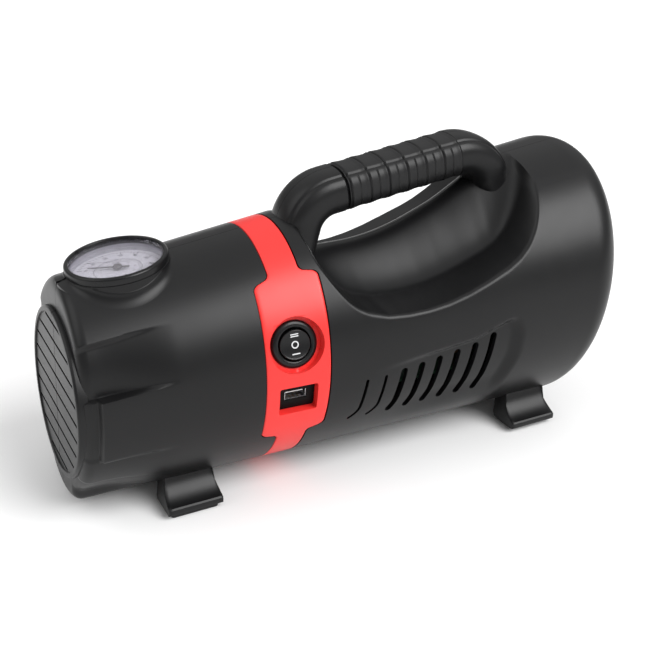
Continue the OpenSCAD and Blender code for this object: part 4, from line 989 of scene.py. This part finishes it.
def drum_below(u, v):
    """Height of the drum's skin, in the gauge's own frame, at the place (u, v)."""
    low, high = -70.0, 12.0
    c, t = math.cos(GAUGE_LEAN), math.sin(GAUGE_LEAN)
    for _ in range(40):
        h = (low + high) / 2
        x, z = GAUGE_X + c * u - t * h, GAUGE_Z + t * u + c * h
        radius = float(half_h(x))
        outside = (v / (SECTION_RATIO * radius)) ** 2 + ((z - float(centre_z(x))) / radius) ** 2 > 1
        low, high = (low, h) if outside else (h, high)
    return h


def collar_half(name, far):
    """The skirt under the bezel, with a fillet that follows the drum."""
    outside = COLLAR_R + COLLAR_REACH
    rings = []
    for q in np.linspace(2, 178, 90) * (1 if far else -1):
        c, t = math.cos(math.radians(q)), math.sin(math.radians(q))
        at_foot = drum_below(COLLAR_R * c, COLLAR_R * t)
        at_reach = drum_below(outside * c, outside * t)
        top = at_foot + min(max(-4.7 - at_foot, 0.1), 5.0)
        start, corner, stop = (np.array(p) for p in (
            (COLLAR_R - 0.2, top), (COLLAR_R, at_foot), (outside, at_reach - 0.1)))
        profile = [(BORE_R, COLLAR_TOP), (28.7, COLLAR_TOP), (29.2, -4.5), (29.35, min(-5.0, top + 0.2))]
        profile += [tuple((1 - w) ** 2 * start + 2 * w * (1 - w) * corner + w * w * stop)
                    for w in np.linspace(0, 1, 9)]
        profile += [(outside, at_reach - 2.4), (BORE_R, at_foot - 2.6)]
        rings.append([(r * c, r * t, h) for r, h in profile])
    return lofted(name, rings)


def gauge_bore():
    return place(lathe("bore", [(0, -60), (BORE_R, -60), (BORE_R, 12), (0, 12)], 144), GAUGE_AT)


def side_y(x, z):
    """How far the skin stands out from the seam at the place (x, z)."""
    a = math.asin((z - float(centre_z(x))) / float(half_h(x)))
    return SECTION_RATIO * float(half_h(x)) * math.cos(a)


def screw_hole(x, z):
    """The deep hole that the shell screw is driven through, on the far side."""
    low, high = side_y(x, z) - SCREW_DEEP, side_y(x, z) + 20
    hole = lathe("hole", [(0, low), (HOLE_R, low), (HOLE_R, high), (0, high)], 32)
    return place(hole, Matrix.Translation((x * MM, 0, z * MM)) @ Matrix.Rotation(-math.pi / 2, 4, "X"))


SCREW_PLACES = [(-96, 131), (-96, 26), (-12, 22), (66, 26), (148, 32), (148, 150)]
for far, side, half in ((False, "near", nose_near), (True, "far", nose_far)):
    collar = place(collar_half("collar", far), GAUGE_AT)
    cut(half, gauge_bore())
    for x, z in SCREW_PLACES[:2] if far else []:
        cut(half, screw_hole(x, z))
    piece = join("nose_shell_detail_" + side, [half, collar, grille[far], foot(FRONT_FOOT, far)])
    finish_piece(piece, shell_black, ["nose_shell_" + side])
for far, side, half in ((False, "near", end_near), (True, "far", end_far)):
    for x, z in SCREW_PLACES[2:] if far else []:
        cut(half, screw_hole(x, z))
    piece = join("rear_shell_detail_" + side, [half, foot(REAR_FOOT, far)])
    stands_for = ["rear_shell_far"] if far else ["rear_shell_near", "hand_well"]
    finish_piece(piece, shell_black, stands_for)
handle_bow = join("handle_bow", [handles[False], handles[True]])
finish_piece(handle_bow, shell_black, ["handle_core"])
print("shells:", [(o.name, len(o.data.polygons)) for o in made])

# %% [markdown]
# ## The control band
# The red band is one moulding: a ring that widens on the near side into a panel
# with two recesses. It is made like the shells, as a wall between two grids. A cup
# is added behind each recess, and the recesses are then cut through both, so their
# walls and floors are real. A small bevel softens every cut edge.

# %% Panel frames
PANEL_YAW = math.atan(TAPER * SECTION_RATIO)


def on_panel(z):
    """A frame on the skin at height z of the panel: +Z outwards, +Y up the skin."""
    a = math.radians(angle_at(BAND_X, z))
    y = float(skin(BAND_X, math.degrees(a))[1])
    tilt = math.atan2(math.sin(a) * SECTION_RATIO, math.cos(a))
    return (Matrix.Translation((BAND_X * MM, y * MM, z * MM)) @ Matrix.Rotation(math.pi / 2 - tilt, 4, "X") @
            Matrix.Rotation(-PANEL_YAW, 4, "Y"))


SWITCH_Z, USB_Z = 103.0, 69.5
POCKET_R, POCKET_DEPTH = 16.5, 6.0
USB_W, USB_H, USB_DEEP = 23.5, 18.0, 7.0


def block(name, w, h, z0, z1, radius=0.0, cx=0.0, cy=0.0):
    outline = [(cx + sx * w / 2, cy + sy * h / 2) for sx, sy in ((-1, -1), (1, -1), (1, 1), (-1, 1))]
    return extrude(name, rounded(outline, radius) if radius else outline, z0, z1)


def turned(name, profile, frame_at, steps=96):
    return place(lathe(name, profile, steps), frame_at)


# %% The band's wall and recesses
def band_wall():
    near = np.unique(np.concatenate([shell_angles(False), np.linspace(-34, 52, 120)]))
    around = np.concatenate([near, (180 - near[::-1])[1:-1]])
    across = [0.0, 0.012, 0.03, 0.07, 0.15, 0.28, 0.42, 0.5, 0.58, 0.72, 0.85, 0.93, 0.97, 0.988, 1.0]
    rounding = [0.5, 0.16, 0.03] + [0.0] * 9 + [0.03, 0.16, 0.5]
    front, wide = front_edge(around), rear_edge(around) - front_edge(around)
    outer = [skin(front + wide * s, around, d) for s, d in zip(across, rounding)]
    inner = [skin(front + wide * s, around, WALL) for s in across]
    return closed_tube("band_wall", outer, inner)


def union(obj, other):
    return cut(obj, other, operation="UNION")


band = band_wall()
switch_frame, usb_frame = on_panel(SWITCH_Z), on_panel(USB_Z)
cup = POCKET_R + 2
union(band, turned("cup", [(0, -8), (cup, -8), (cup, -2.5), (0, -2.5)], switch_frame))
union(band, place(block("cup", USB_W + 4, USB_H + 4, -USB_DEEP - 2, -2.5, 3.0), usb_frame))
cut(band, turned("pocket", [
    (0, -POCKET_DEPTH), (POCKET_R, -POCKET_DEPTH), (POCKET_R, 20), (0, 20)], switch_frame, FINE))
cut(band, turned("pocket", [(0, -20), (11.6, -20), (11.6, 5), (0, 5)], switch_frame))
cut(band, place(block("recess", USB_W, USB_H, -USB_DEEP, 20, 1.6), usb_frame))
cut(band, place(block("recess", 14.5, 7.1, -20, 5), usb_frame))
bevel(band, 0.7, 3, 50)
finish_piece(band, band_red, ["control_band"], angle=40)
print("band faces:", len(band.data.polygons))

# %% [markdown]
# ## The switch
# The switch is a round snap-in rocker. Its bezel is a turned ring with a soft
# shoulder. The rocker's face is hollowed across its pivot, so a finger finds the
# end to press. The marks are inlaid strokes: two bars, a ring and one bar.

# %% Switch bezel and rocker
switch_at = switch_frame @ Matrix.Translation((0, 0, -POCKET_DEPTH * MM))
switch_bezel = turned("switch_bezel", [
    (9.75, -4.0), (9.75, 1.35), (9.95, 1.75), (10.4, 2.05), (11.2, 2.15), (12.3, 1.95), (13.3, 1.45),
    (13.85, 0.8), (14.0, 0.05), (11.3, 0.05), (11.3, -4.0)], switch_at, FINE)
housing_body = turned("switch_body", [
    (0, -22), (10.9, -22), (11.3, -21.4), (11.3, -7.2), (0, -7.2)], switch_at, 64)
for side in (-1, 1):
    cheek = block("cheek", 1.7, 16.0, -7.5, 0.5, 0.6, cx=side * 10.55)
    place(cheek, switch_at)
    housing_body = join("switch_body", [housing_body, cheek])
switch_housing = join("switch_housing_detail", [switch_bezel, housing_body])
finish_piece(switch_housing, bezel_black, ["switch_housing"])


ROCKER_SLIM = 0.94
ROCKER_TOP, ROCKER_R, FACE_R, EDGE_ROUND = 4.35, 9.3, 8.7, 0.55
ROCKER_Z = -2.0


def dish(y):
    """How far the hollowed face rises above its middle."""
    return 0.95 * (y / ROCKER_R) ** 2


def rocker_face():
    """Rings from the middle of the face to its edge, then down the side."""
    q = np.linspace(0, 2 * math.pi, 96, endpoint=False)
    c, s = np.cos(q), np.sin(q)
    rings = []
    for r in np.linspace(0.4, FACE_R, 16):
        z = ROCKER_TOP + dish(r * s) + 0.12 * (r * c / ROCKER_R) ** 2
        rings.append(np.stack([r * c, r * s, z], axis=-1))
    for t in np.radians(np.linspace(15, 90, 6)):
        r = FACE_R + EDGE_ROUND * math.sin(t)
        z = ROCKER_TOP + dish(r * s) + 0.12 - EDGE_ROUND * (1 - math.cos(t))
        rings.append(np.stack([r * c, r * s, z], axis=-1))
    for r, z in ((9.25, 1.0), (8.6, -0.6), (6.0, -1.8), (2.0, -2.6)):
        rings.append(np.stack([r * c, r * s, np.full(len(q), z)], axis=-1))
    rings = np.array(rings)
    rings[..., 1] *= ROCKER_SLIM
    return lofted("rocker", rings)


rocker_at = switch_at @ Matrix.Translation((0, 0, ROCKER_Z * MM))
rocker = place(rocker_face(), rocker_at)
finish_piece(rocker, bezel_black, ["switch_rocker"], body="rocker", angle=50)


def stroke(cy, w, h):
    """A bar of a mark, sunk in the face and just proud of it."""
    s = block("mark", w, h, 4.2 + dish(cy), 4.47 + dish(abs(cy) + h / 2), 0.2, 0, cy)
    return place(s, rocker_at)


ring_mark = lathe("mark", [(1.5, 4.2), (2.2, 4.2), (2.2, 4.44), (1.5, 4.44)], 48)
place(ring_mark, rocker_at)
strokes = [stroke(6.1, 4.8, 0.6), stroke(4.9, 4.8, 0.6), stroke(-5.3, 4.8, 0.7)]
marks = join("switch_marks", strokes + [ring_mark])
finish_piece(marks, mark_grey, body="rocker")
print("switch pieces:", len(switch_housing.data.polygons), len(rocker.data.polygons))

# %% [markdown]
# ## The USB socket
# The socket sits in its own rectangular recess. A black frame with rounded corners
# fills the recess, and a thin folded shell of bright steel stands just behind the
# frame's opening. Four contacts on the tongue are copies in a row.

# %% USB frame and shell
frame_plate = block("usb_frame", USB_W - 0.3, USB_H - 0.3, -6.95, -5.2, 1.5)
cut(frame_plate, block("hole", 13.5, 6.1, -30, 10, 0.5))
bevel(frame_plate, 0.3, 2, 40)
place(frame_plate, usb_frame)
finish_piece(frame_plate, deep_black, ["usb_bezel"])
metal = block("usb_metal", 13.3, 5.9, -18.5, -6.1, 0.5)
cut(metal, block("inside", 12.5, 5.1, -18.1, 10, 0.35))
place(metal, usb_frame)
finish_piece(metal, steel, ["usb_shell"])
contacts = join("usb_contacts", [
    place(block("contact", 1.1, 0.2, -15.5, -8.6, cx=x, cy=-0.02), usb_frame)
    for x in (-3.5, -1.15, 1.15, 3.5)])
finish_piece(contacts, brass)
print("usb pieces made")

# %% [markdown]
# ## The gauge
# The gauge is read from above. Its bezel is a turned ring with a rounded lip, its
# well is deep and grey, and the lens sits below the lip. The dial's ticks come from
# a Geometry Nodes tree: a ring of points, one bar on each, turned to face the
# middle. The scale runs over 270 degrees and its numbers are plain figures.

# %% Bezel, well and lens
bezel_ring = turned("gauge_bezel_ring", [
    (26.2, -1.6), (26.2, -0.7), (26.35, -0.25), (26.7, 0.02), (27.2, 0.12), (27.8, 0.05), (28.4, -0.25),
    (28.85, -0.75), (29.0, -1.4), (29.0, -4.1), (26.6, -4.1), (26.6, -1.6)], GAUGE_AT, 160)
finish_piece(bezel_ring, bezel_black, ["gauge_bezel"], angle=50)
lens = turned("gauge_glass_disc", [
    (0, -3.15), (26.3, -3.15), (26.45, -3.0), (26.45, -1.8), (26.3, -1.65), (0, -1.5)], GAUGE_AT, FINE)
finish_piece(lens, glass, ["gauge_lens"])
well = turned("gauge_well", [
    (0, -26), (26.9, -26), (27.4, -25.5), (27.4, COLLAR_TOP), (25.9, COLLAR_TOP), (25.75, -4.6),
    (25.6, -9.0), (23.8, -9.0), (23.8, -24), (0, -24)], GAUGE_AT, FINE)
finish_piece(well, well_grey, ["gauge_case"])
dial = turned("gauge_face", [
    (0.8, -8.95), (25.4, -8.95), (25.5, -8.8), (25.5, -8.15), (25.35, -8.05), (0.8, -8.05)], GAUGE_AT, FINE)
finish_piece(dial, dial_white, ["gauge_dial"])

# %% Ticks from Geometry Nodes, and numbers
DIAL_START, DIAL_SWEEP = 150.0, 270.0
DIAL_UP = 15.0
INK_Z, INK_DEEP = -8.0, 0.12
tick_tree, given = node_group("dial_ticks", [
    ("Count", "Int", 51), ("Sweep", "Float", DIAL_SWEEP), ("Start", "Float", DIAL_START),
    ("Radius", "Float", 0.022), ("Length", "Float", 0.002), ("Width", "Float", 0.0003),
    ("Material", "Material", None)])
line = add(tick_tree, "GeometryNodeMeshLine", {"Count": given["Count"], "Offset": (0, 0, 0)})
index = add(tick_tree, "GeometryNodeInputIndex").outputs[0]
share = math_node(tick_tree, "DIVIDE", index, math_node(tick_tree, "SUBTRACT", given["Count"], 1.0))
gone = math_node(tick_tree, "MULTIPLY", share, given["Sweep"])
turn = math_node(tick_tree, "RADIANS", math_node(tick_tree, "SUBTRACT", given["Start"], gone))
across, up = (math_node(tick_tree, "MULTIPLY", math_node(tick_tree, wave, turn), given["Radius"])
              for wave in ("COSINE", "SINE"))
ring = add(tick_tree, "GeometryNodeSetPosition", {
    "Geometry": line.outputs[0], "Position": xyz(tick_tree, X=across, Y=up)})
end_tree(tick_tree, given, ring.outputs[0], add(tick_tree, "GeometryNodeMeshCube").outputs[0],
         Scale=xyz(tick_tree, X=given["Length"], Y=given["Width"], Z=INK_DEEP * MM),
         Rotation=xyz(tick_tree, Z=turn))


def ticks(count, radius, length, width):
    row = run_tree(tick_tree, "ticks", {
        "Count": count, "Radius": radius * MM, "Length": length * MM, "Width": width * MM, "Material": ink})
    return place(row, GAUGE_AT @ Matrix.Translation((0, 0, INK_Z * MM)))


def number(text, share, radius, size):
    """A plain figure on the dial, upright to a reader at the nose."""
    curve = bpy.data.curves.new("figure", "FONT")
    curve.body = text
    curve.size = size * MM
    curve.align_x = "CENTER"
    curve.align_y = "CENTER"
    curve.extrude = 0.05 * MM
    obj = bpy.data.objects.new("figure", curve)
    bpy.context.scene.collection.objects.link(obj)
    graph = bpy.context.evaluated_depsgraph_get()
    mesh = bpy.data.meshes.new_from_object(obj.evaluated_get(graph))
    bpy.data.objects.remove(obj)
    flat = bpy.data.objects.new("figure", mesh)
    bpy.context.scene.collection.objects.link(flat)
    t = math.radians(DIAL_START - DIAL_SWEEP * share)
    upright = Matrix.Rotation(math.radians(DIAL_UP - 90), 4, "Z")
    spot = Matrix.Translation((radius * math.cos(t) * MM, radius * math.sin(t) * MM, INK_Z * MM))
    return place(flat, GAUGE_AT @ spot @ upright)


scale_parts = [ticks(51, 22.6, 1.7, 0.22), ticks(11, 22.2, 2.8, 0.45), ticks(36, 12.4, 1.1, 0.18)]
scale_parts += [number(str(10 * i), i / 10, 18.6, 3.1) for i in range(0, 11)]
scale_parts += [number(str(i), i / 7, 9.6, 2.0) for i in range(0, 8)]
inner_arc = [(13.4, -8.06), (13.65, -8.06), (13.65, -7.97), (13.4, -7.97)]
scale_parts.append(turned("arc", inner_arc, GAUGE_AT, FINE))
scale = join("dial_scale", scale_parts)
finish_piece(scale, ink)
print("dial scale faces:", len(scale.data.polygons))

# %% [markdown]
# ## The needle
# The needle is a thin tapered blade on a small domed hub, with a short tail for
# balance. It is one piece with its spindle and rides on its own body.

# %% Needle and hub
blade = extrude("blade", [
    (-6.5, -1.0), (-6.5, 1.0), (-3, 0.75), (0, 0.95), (16.5, 0.28), (17.2, 0), (16.5, -0.28), (0, -0.95),
    (-3, -0.75)], -6.6, -6.15)
place(blade, GAUGE_AT @ Matrix.Rotation(math.radians(DIAL_START), 4, "Z"))
spindle = turned("spindle", [(0, -13), (0.7, -13), (0.7, -6.6), (0, -6.6)], GAUGE_AT, 32)
hub = turned("hub", [
    (0, -7.2), (2.4, -7.2), (2.6, -6.9), (2.6, -5.9), (2.2, -5.35), (1.4, -5.1), (0, -5.05)], GAUGE_AT, 64)
needle = join("gauge_pointer", [blade, spindle, hub])
finish_piece(needle, needle_dark, ["gauge_needle"], body="needle")
print("needle made")

# %% [markdown]
# ## Cover, gland, outlet and pads
# A round cover closes the large end. It has a raised rim, a shallow ring and four
# screws. A rubber gland is there for the mains lead and a brass nipple, turned with
# three grooves, for the air hose. Soft pads sit under the feet.

# %% Cover and fittings
END_DISC = at_end() @ Matrix.Rotation(math.pi / 2, 4, "Y")
cover = turned("cover", [
    (0, -2.95), (45.7, -2.95), (45.7, -0.5), (45.2, 0.0), (43.4, 0.0), (42.9, -0.35), (42.4, -0.8),
    (30.5, -0.8), (30.0, -0.35), (29.4, 0.0), (28.0, 0.0), (27.5, -0.35), (27.0, -0.8), (0, -0.8)],
    END_DISC, 144)
spigot = turned("spigot", [(40.5, -7), (42.7, -7), (42.7, -2.9), (40.5, -2.9)], END_DISC, FINE)


def along_x(name, profile, z, steps=64):
    """Turns (radius, x) points round an axis along X at height z."""
    turn = Matrix.Translation((0, 0, z * MM)) @ Matrix.Rotation(math.pi / 2, 4, "Y")
    return place(lathe(name, profile, steps), turn)


PORT_Z, GLAND_Z = 117.8, 74.0
for radius, z in ((5.6, PORT_Z), (6.1, GLAND_Z)):
    cut(cover, along_x("hole", [(0, 150), (radius, 150), (radius, 190), (0, 190)], z))
SCREW_CIRCLE = 38.0
SCREW_TURNS = np.radians((45, 135, 225, 315))
SCREW_RING = [(SCREW_CIRCLE * math.cos(t), SCREW_CIRCLE * math.sin(t)) for t in SCREW_TURNS]
for u, v in SCREW_RING:
    turn = at_end() @ Matrix.Translation((0, v * MM, -u * MM)) @ Matrix.Rotation(math.pi / 2, 4, "Y")
    cut(cover, turned("seat", [(0, -6), (1.6, -6), (1.6, 4), (0, 4)], turn, 24))
finish_piece(join("cover_plate", [cover, spigot]), inner_black, ["rear_cover"])
gland = along_x("gland", [
    (2.6, 158), (6.0, 158), (6.0, 174.3), (7.2, 174.4), (7.9, 174.7), (8.0, 175.2), (7.6, 175.7),
    (6.4, 176.0), (3.2, 176.0), (2.6, 175.7)], GLAND_Z)
finish_piece(gland, seal_black, ["cord_gland"], angle=50)
nipple_profile = [(2.05, 156.5), (7.5, 156.5), (7.5, 159.5), (5.5, 159.5), (5.5, 172.4), (4.5, 172.5)]
for x in (173.4, 175.1, 176.8):
    nipple_profile += [(4.5, x), (4.3, x + 0.2), (4.3, x + 0.6), (4.5, x + 0.8)]
nipple_profile += [(4.5, 178.6), (4.0, 179.5), (2.05, 179.7)]
nipple = along_x("nipple", nipple_profile, PORT_Z)
finish_piece(nipple, brass, ["outlet_nipple"])
pads = []
for cx, y0 in (FRONT_FOOT, REAR_PAD):
    for side in (-1, 1):
        outline = rounded([(cx - 14.5, 0), (cx + 14.5, 0), (cx + 14.5, 17), (cx - 14.5, 17)], 2.0)
        pad = extrude("pad", [(x, y - y0 + 2.5) for x, y in outline], 0.0, 3.2)
        bevel(pad, 0.4, 2, 50)
        if side > 0:
            place(pad, Matrix.Scale(-1, 4, (0, 1, 0)))
            clean(pad)
        pads.append(pad)
finish_piece(join("pads", pads), pad_rubber, ["foot_pads"])
print("cover, gland, nipple and pads made")

# %% [markdown]
# ## Screws
# All screws have the same pan head with a cross recess. A Geometry Nodes tree puts a
# head and a shank on each point of a row of points, so the sizes are inputs and
# every screw is the same. Each set is one mesh at the end.

# %% Screw tree
TOP_SHARE, CROSS_LONG, CROSS_HEIGHT, CROSS_WIDE = 0.84, 1.15, 0.85, 0.22
screw_tree, given = node_group("screws", [
    ("Geometry", "Geometry", None), ("Head radius", "Float", 0.0032), ("Head height", "Float", 0.0022),
    ("Shank radius", "Float", 0.0015), ("Shank length", "Float", 0.02), ("Cross", "Float", 0.0006),
    ("Material", "Material", None)])


def share_of(label, share):
    return math_node(screw_tree, "MULTIPLY", given[label], share)


def raised(node, height):
    """A solid node's mesh, moved up."""
    return add(screw_tree, "GeometryNodeTransform", {
        "Geometry": node.outputs["Mesh"], "Translation": xyz(screw_tree, Z=height)}).outputs[0]


head = add(screw_tree, "GeometryNodeMeshCone", {
    "Vertices": 32, "Radius Top": share_of("Head radius", TOP_SHARE), "Radius Bottom": given["Head radius"],
    "Depth": given["Head height"]})
shank = add(screw_tree, "GeometryNodeMeshCylinder", {
    "Vertices": 20, "Radius": given["Shank radius"], "Depth": given["Shank length"]})
carve = add(screw_tree, "GeometryNodeMeshBoolean", {"Mesh 1": head.outputs["Mesh"]}, operation="DIFFERENCE")
for long_axis, short_axis in (("X", "Y"), ("Y", "X")):
    groove = add(screw_tree, "GeometryNodeMeshCube", {"Size": xyz(screw_tree, Z=given["Head height"], **{
        long_axis: share_of("Head radius", CROSS_LONG), short_axis: given["Cross"]})})
    screw_tree.links.new(raised(groove, share_of("Head height", CROSS_HEIGHT)), carve.inputs["Mesh 2"])
whole = add(screw_tree, "GeometryNodeJoinGeometry", {0: carve.outputs["Mesh"]})
screw_tree.links.new(raised(shank, share_of("Shank length", -0.5)), whole.inputs[0])
end_tree(screw_tree, given, given["Geometry"], whole.outputs[0])


def screws(name, places, head_r, head_h, shank_r, shank_l, matrix):
    """Screws with their heads' seats at the places, heads up +Z before the matrix."""
    row = new_object(name, np.array(places, float), [])
    run_tree(screw_tree, name, {
        "Head radius": head_r * MM, "Head height": head_h * MM, "Shank radius": shank_r * MM,
        "Shank length": shank_l * MM, "Cross": head_r * CROSS_WIDE * MM, "Material": zinc}, start=row)
    return place(row, matrix)


# %% The screws that show
shell_screw_set = []
for x, z in SCREW_PLACES:
    seat_y = side_y(x, z) - SCREW_DEEP
    towards_far = Matrix.Translation((x * MM, seat_y * MM, z * MM)) @ Matrix.Rotation(-math.pi / 2, 4, "X")
    shell_screw_set.append(screws("shell_screw", [(0, 0, 0)], 3.2, 2.4, 1.55, seat_y + 12.0, towards_far))
finish_piece(join("shell_screw_set", shell_screw_set), zinc, ["shell_screws"])
cover_places = [(-u, v, 0.05) for u, v in SCREW_RING]
cover_screw_set = screws("cover_screw_set", cover_places, 2.8, 1.8, 1.35, 10.0, END_DISC)
finish_piece(cover_screw_set, zinc, ["cover_screws"])
print("screws:", len(SCREW_PLACES) + len(SCREW_RING))

# %% [markdown]
# ## What is inside
# The solid model's own parts stay as they are inside: motor, gears, crank, cylinder
# and power supply. Each takes the finish of what it is made of, because the slots
# of the grille and the vents let some of it be seen.

# %% Finishes for the solid parts
inside = [
    (inner_black, "band_carrier motor_end_bell cooling_fan"),
    (brass, "gauge_movement switch_terminals pinion"),
    (copper, "motor_rotor gauge_pipe"),
    (steel, "motor_can crank_shaft crank_retainer"),
    (alloy, "bulkhead piston_rod cylinder_barrel cylinder_head heat_sink"),
    (zinc, "motor_screws head_screws"),
    (sleeve_blue, "outlet_pipe capacitors"),
    (board_green, "usb_board power_board"),
    (tongue_white, "usb_tongue"), (magnet, "motor_magnets"), (gear_white, "drive_gear"),
    (seal_black, "piston_seal"), (laminate, "transformer")]
dressed = [(name, material) for material, names in inside for name in names.split()]
for name, material in dressed:
    nodes[name].data.materials.clear()
    nodes[name].data.materials.append(material)
print("solid parts with a finish:", len(dressed))

# %% [markdown]
# ## Floor, light and camera
# Black plastic shows its form by what it mirrors, so the light is laid out for the
# reflections. A broad soft sun stands on the control side, 41 degrees up, and draws
# one long highlight along the drum. A second, weak one from the nose end opens the
# shaded side. The world is bright at the horizon, dim just above it and brighter
# again towards the top, like a studio with a lit ceiling. Suns with a large angle
# light the pale floor evenly, however far it reaches.

# %% Floor
FLOOR_REACH = 8.0
corners = [(-FLOOR_REACH, -FLOOR_REACH, 0), (FLOOR_REACH, -FLOOR_REACH, 0),
           (FLOOR_REACH, FLOOR_REACH, 0), (-FLOOR_REACH, FLOOR_REACH, 0)]
floor = new_object("floor", corners, [(0, 1, 2, 3)], scale=1.0)
floor_mat, floor_tree, floor_shader = new_material("floor_pale", Roughness=0.9, Specular_IOR_Level=0.1)
floor_noise = add(floor_tree, "ShaderNodeTexNoise", {"Scale": 2.0})
shades = ((0.0, (0.9, 0.9, 0.9)), (1.0, (0.92, 0.92, 0.92)))
floor_color = ramp(floor_tree, floor_noise.outputs["Fac"], shades)
floor_tree.links.new(floor_color, floor_shader.inputs["Base Color"])
floor.data.materials.append(floor_mat)
print("floor:", 2 * FLOOR_REACH, "m wide")

# %% World
world = bpy.data.worlds.new("studio")
bpy.context.scene.world = world
world.use_nodes = True
world_tree = world.node_tree
world_tree.nodes.clear()
way = add(world_tree, "ShaderNodeTexCoord").outputs["Generated"]
up_share = add(world_tree, "ShaderNodeSeparateXYZ", {0: way}).outputs["Z"]
levels = ((0.0, 1.0), (1.0, 1.0), (0.05, 0.22), (0.14, 0.2))
wall = ramp(world_tree, up_share, [(height, (level, level, level)) for height, level in levels])
sky = add(world_tree, "ShaderNodeBackground", {"Color": wall})
add(world_tree, "ShaderNodeOutputWorld", {"Surface": sky.outputs[0]})
print("world set")


# %% Lamps
def soft_sun(name, azimuth, elevation, spread_angle, strength):
    """A broad source at the given direction, seen from the object; angles in degrees."""
    light = bpy.data.lights.new(name, "SUN")
    light.angle = math.radians(spread_angle)
    light.energy = strength
    obj = bpy.data.objects.new(name, light)
    bpy.context.scene.collection.objects.link(obj)
    az, el = math.radians(azimuth), math.radians(elevation)
    towards = Vector((math.cos(el) * math.cos(az), math.cos(el) * math.sin(az), math.sin(el)))
    obj.matrix_world = Matrix.Translation(towards) @ (-towards).to_track_quat("-Z", "Y").to_matrix().to_4x4()


soft_sun("key", -58, 41, 40, 2.9)
soft_sun("left", 168, 40, 50, 0.6)
print("lamps:", len(bpy.data.lights))

# %% Camera
VIEW_A, VIEW_E, ROLL = math.radians(27.573), math.radians(26.013), math.radians(0.85)
DISTANCE, LENS = 0.661793, 57.905
TARGET = Vector((-0.004903, 0.0, 0.079146))
back = Vector((-math.sin(VIEW_A) * math.cos(VIEW_E), -math.cos(VIEW_A) * math.cos(VIEW_E), math.sin(VIEW_E)))
right = Vector((math.cos(VIEW_A), -math.sin(VIEW_A), 0))
up = back.cross(right)
right, up = math.cos(ROLL) * right + math.sin(ROLL) * up, -math.sin(ROLL) * right + math.cos(ROLL) * up
eye = TARGET + back * DISTANCE
camera_data = bpy.data.cameras.new("camera")
camera_data.lens = LENS
camera_data.sensor_width = 36.0
camera_data.sensor_fit = "HORIZONTAL"
camera_data.clip_start = 0.01
camera = bpy.data.objects.new("camera", camera_data)
bpy.context.scene.collection.objects.link(camera)
camera.matrix_world = Matrix([(*row, where) for *row, where in zip(right, up, back, eye)] + [(0, 0, 0, 1)])
bpy.context.scene.camera = camera
bpy.context.scene.view_settings.view_transform = "Standard"
print("camera at", [round(v, 3) for v in eye])

# %% [markdown]
# ## Last measures
# Looks never change the size of the model. The closing line prints how many triangles the pieces have.

# %% Measure and finish
print("triangles:", sum(len(p.vertices) - 2 for o in made for p in o.data.polygons))
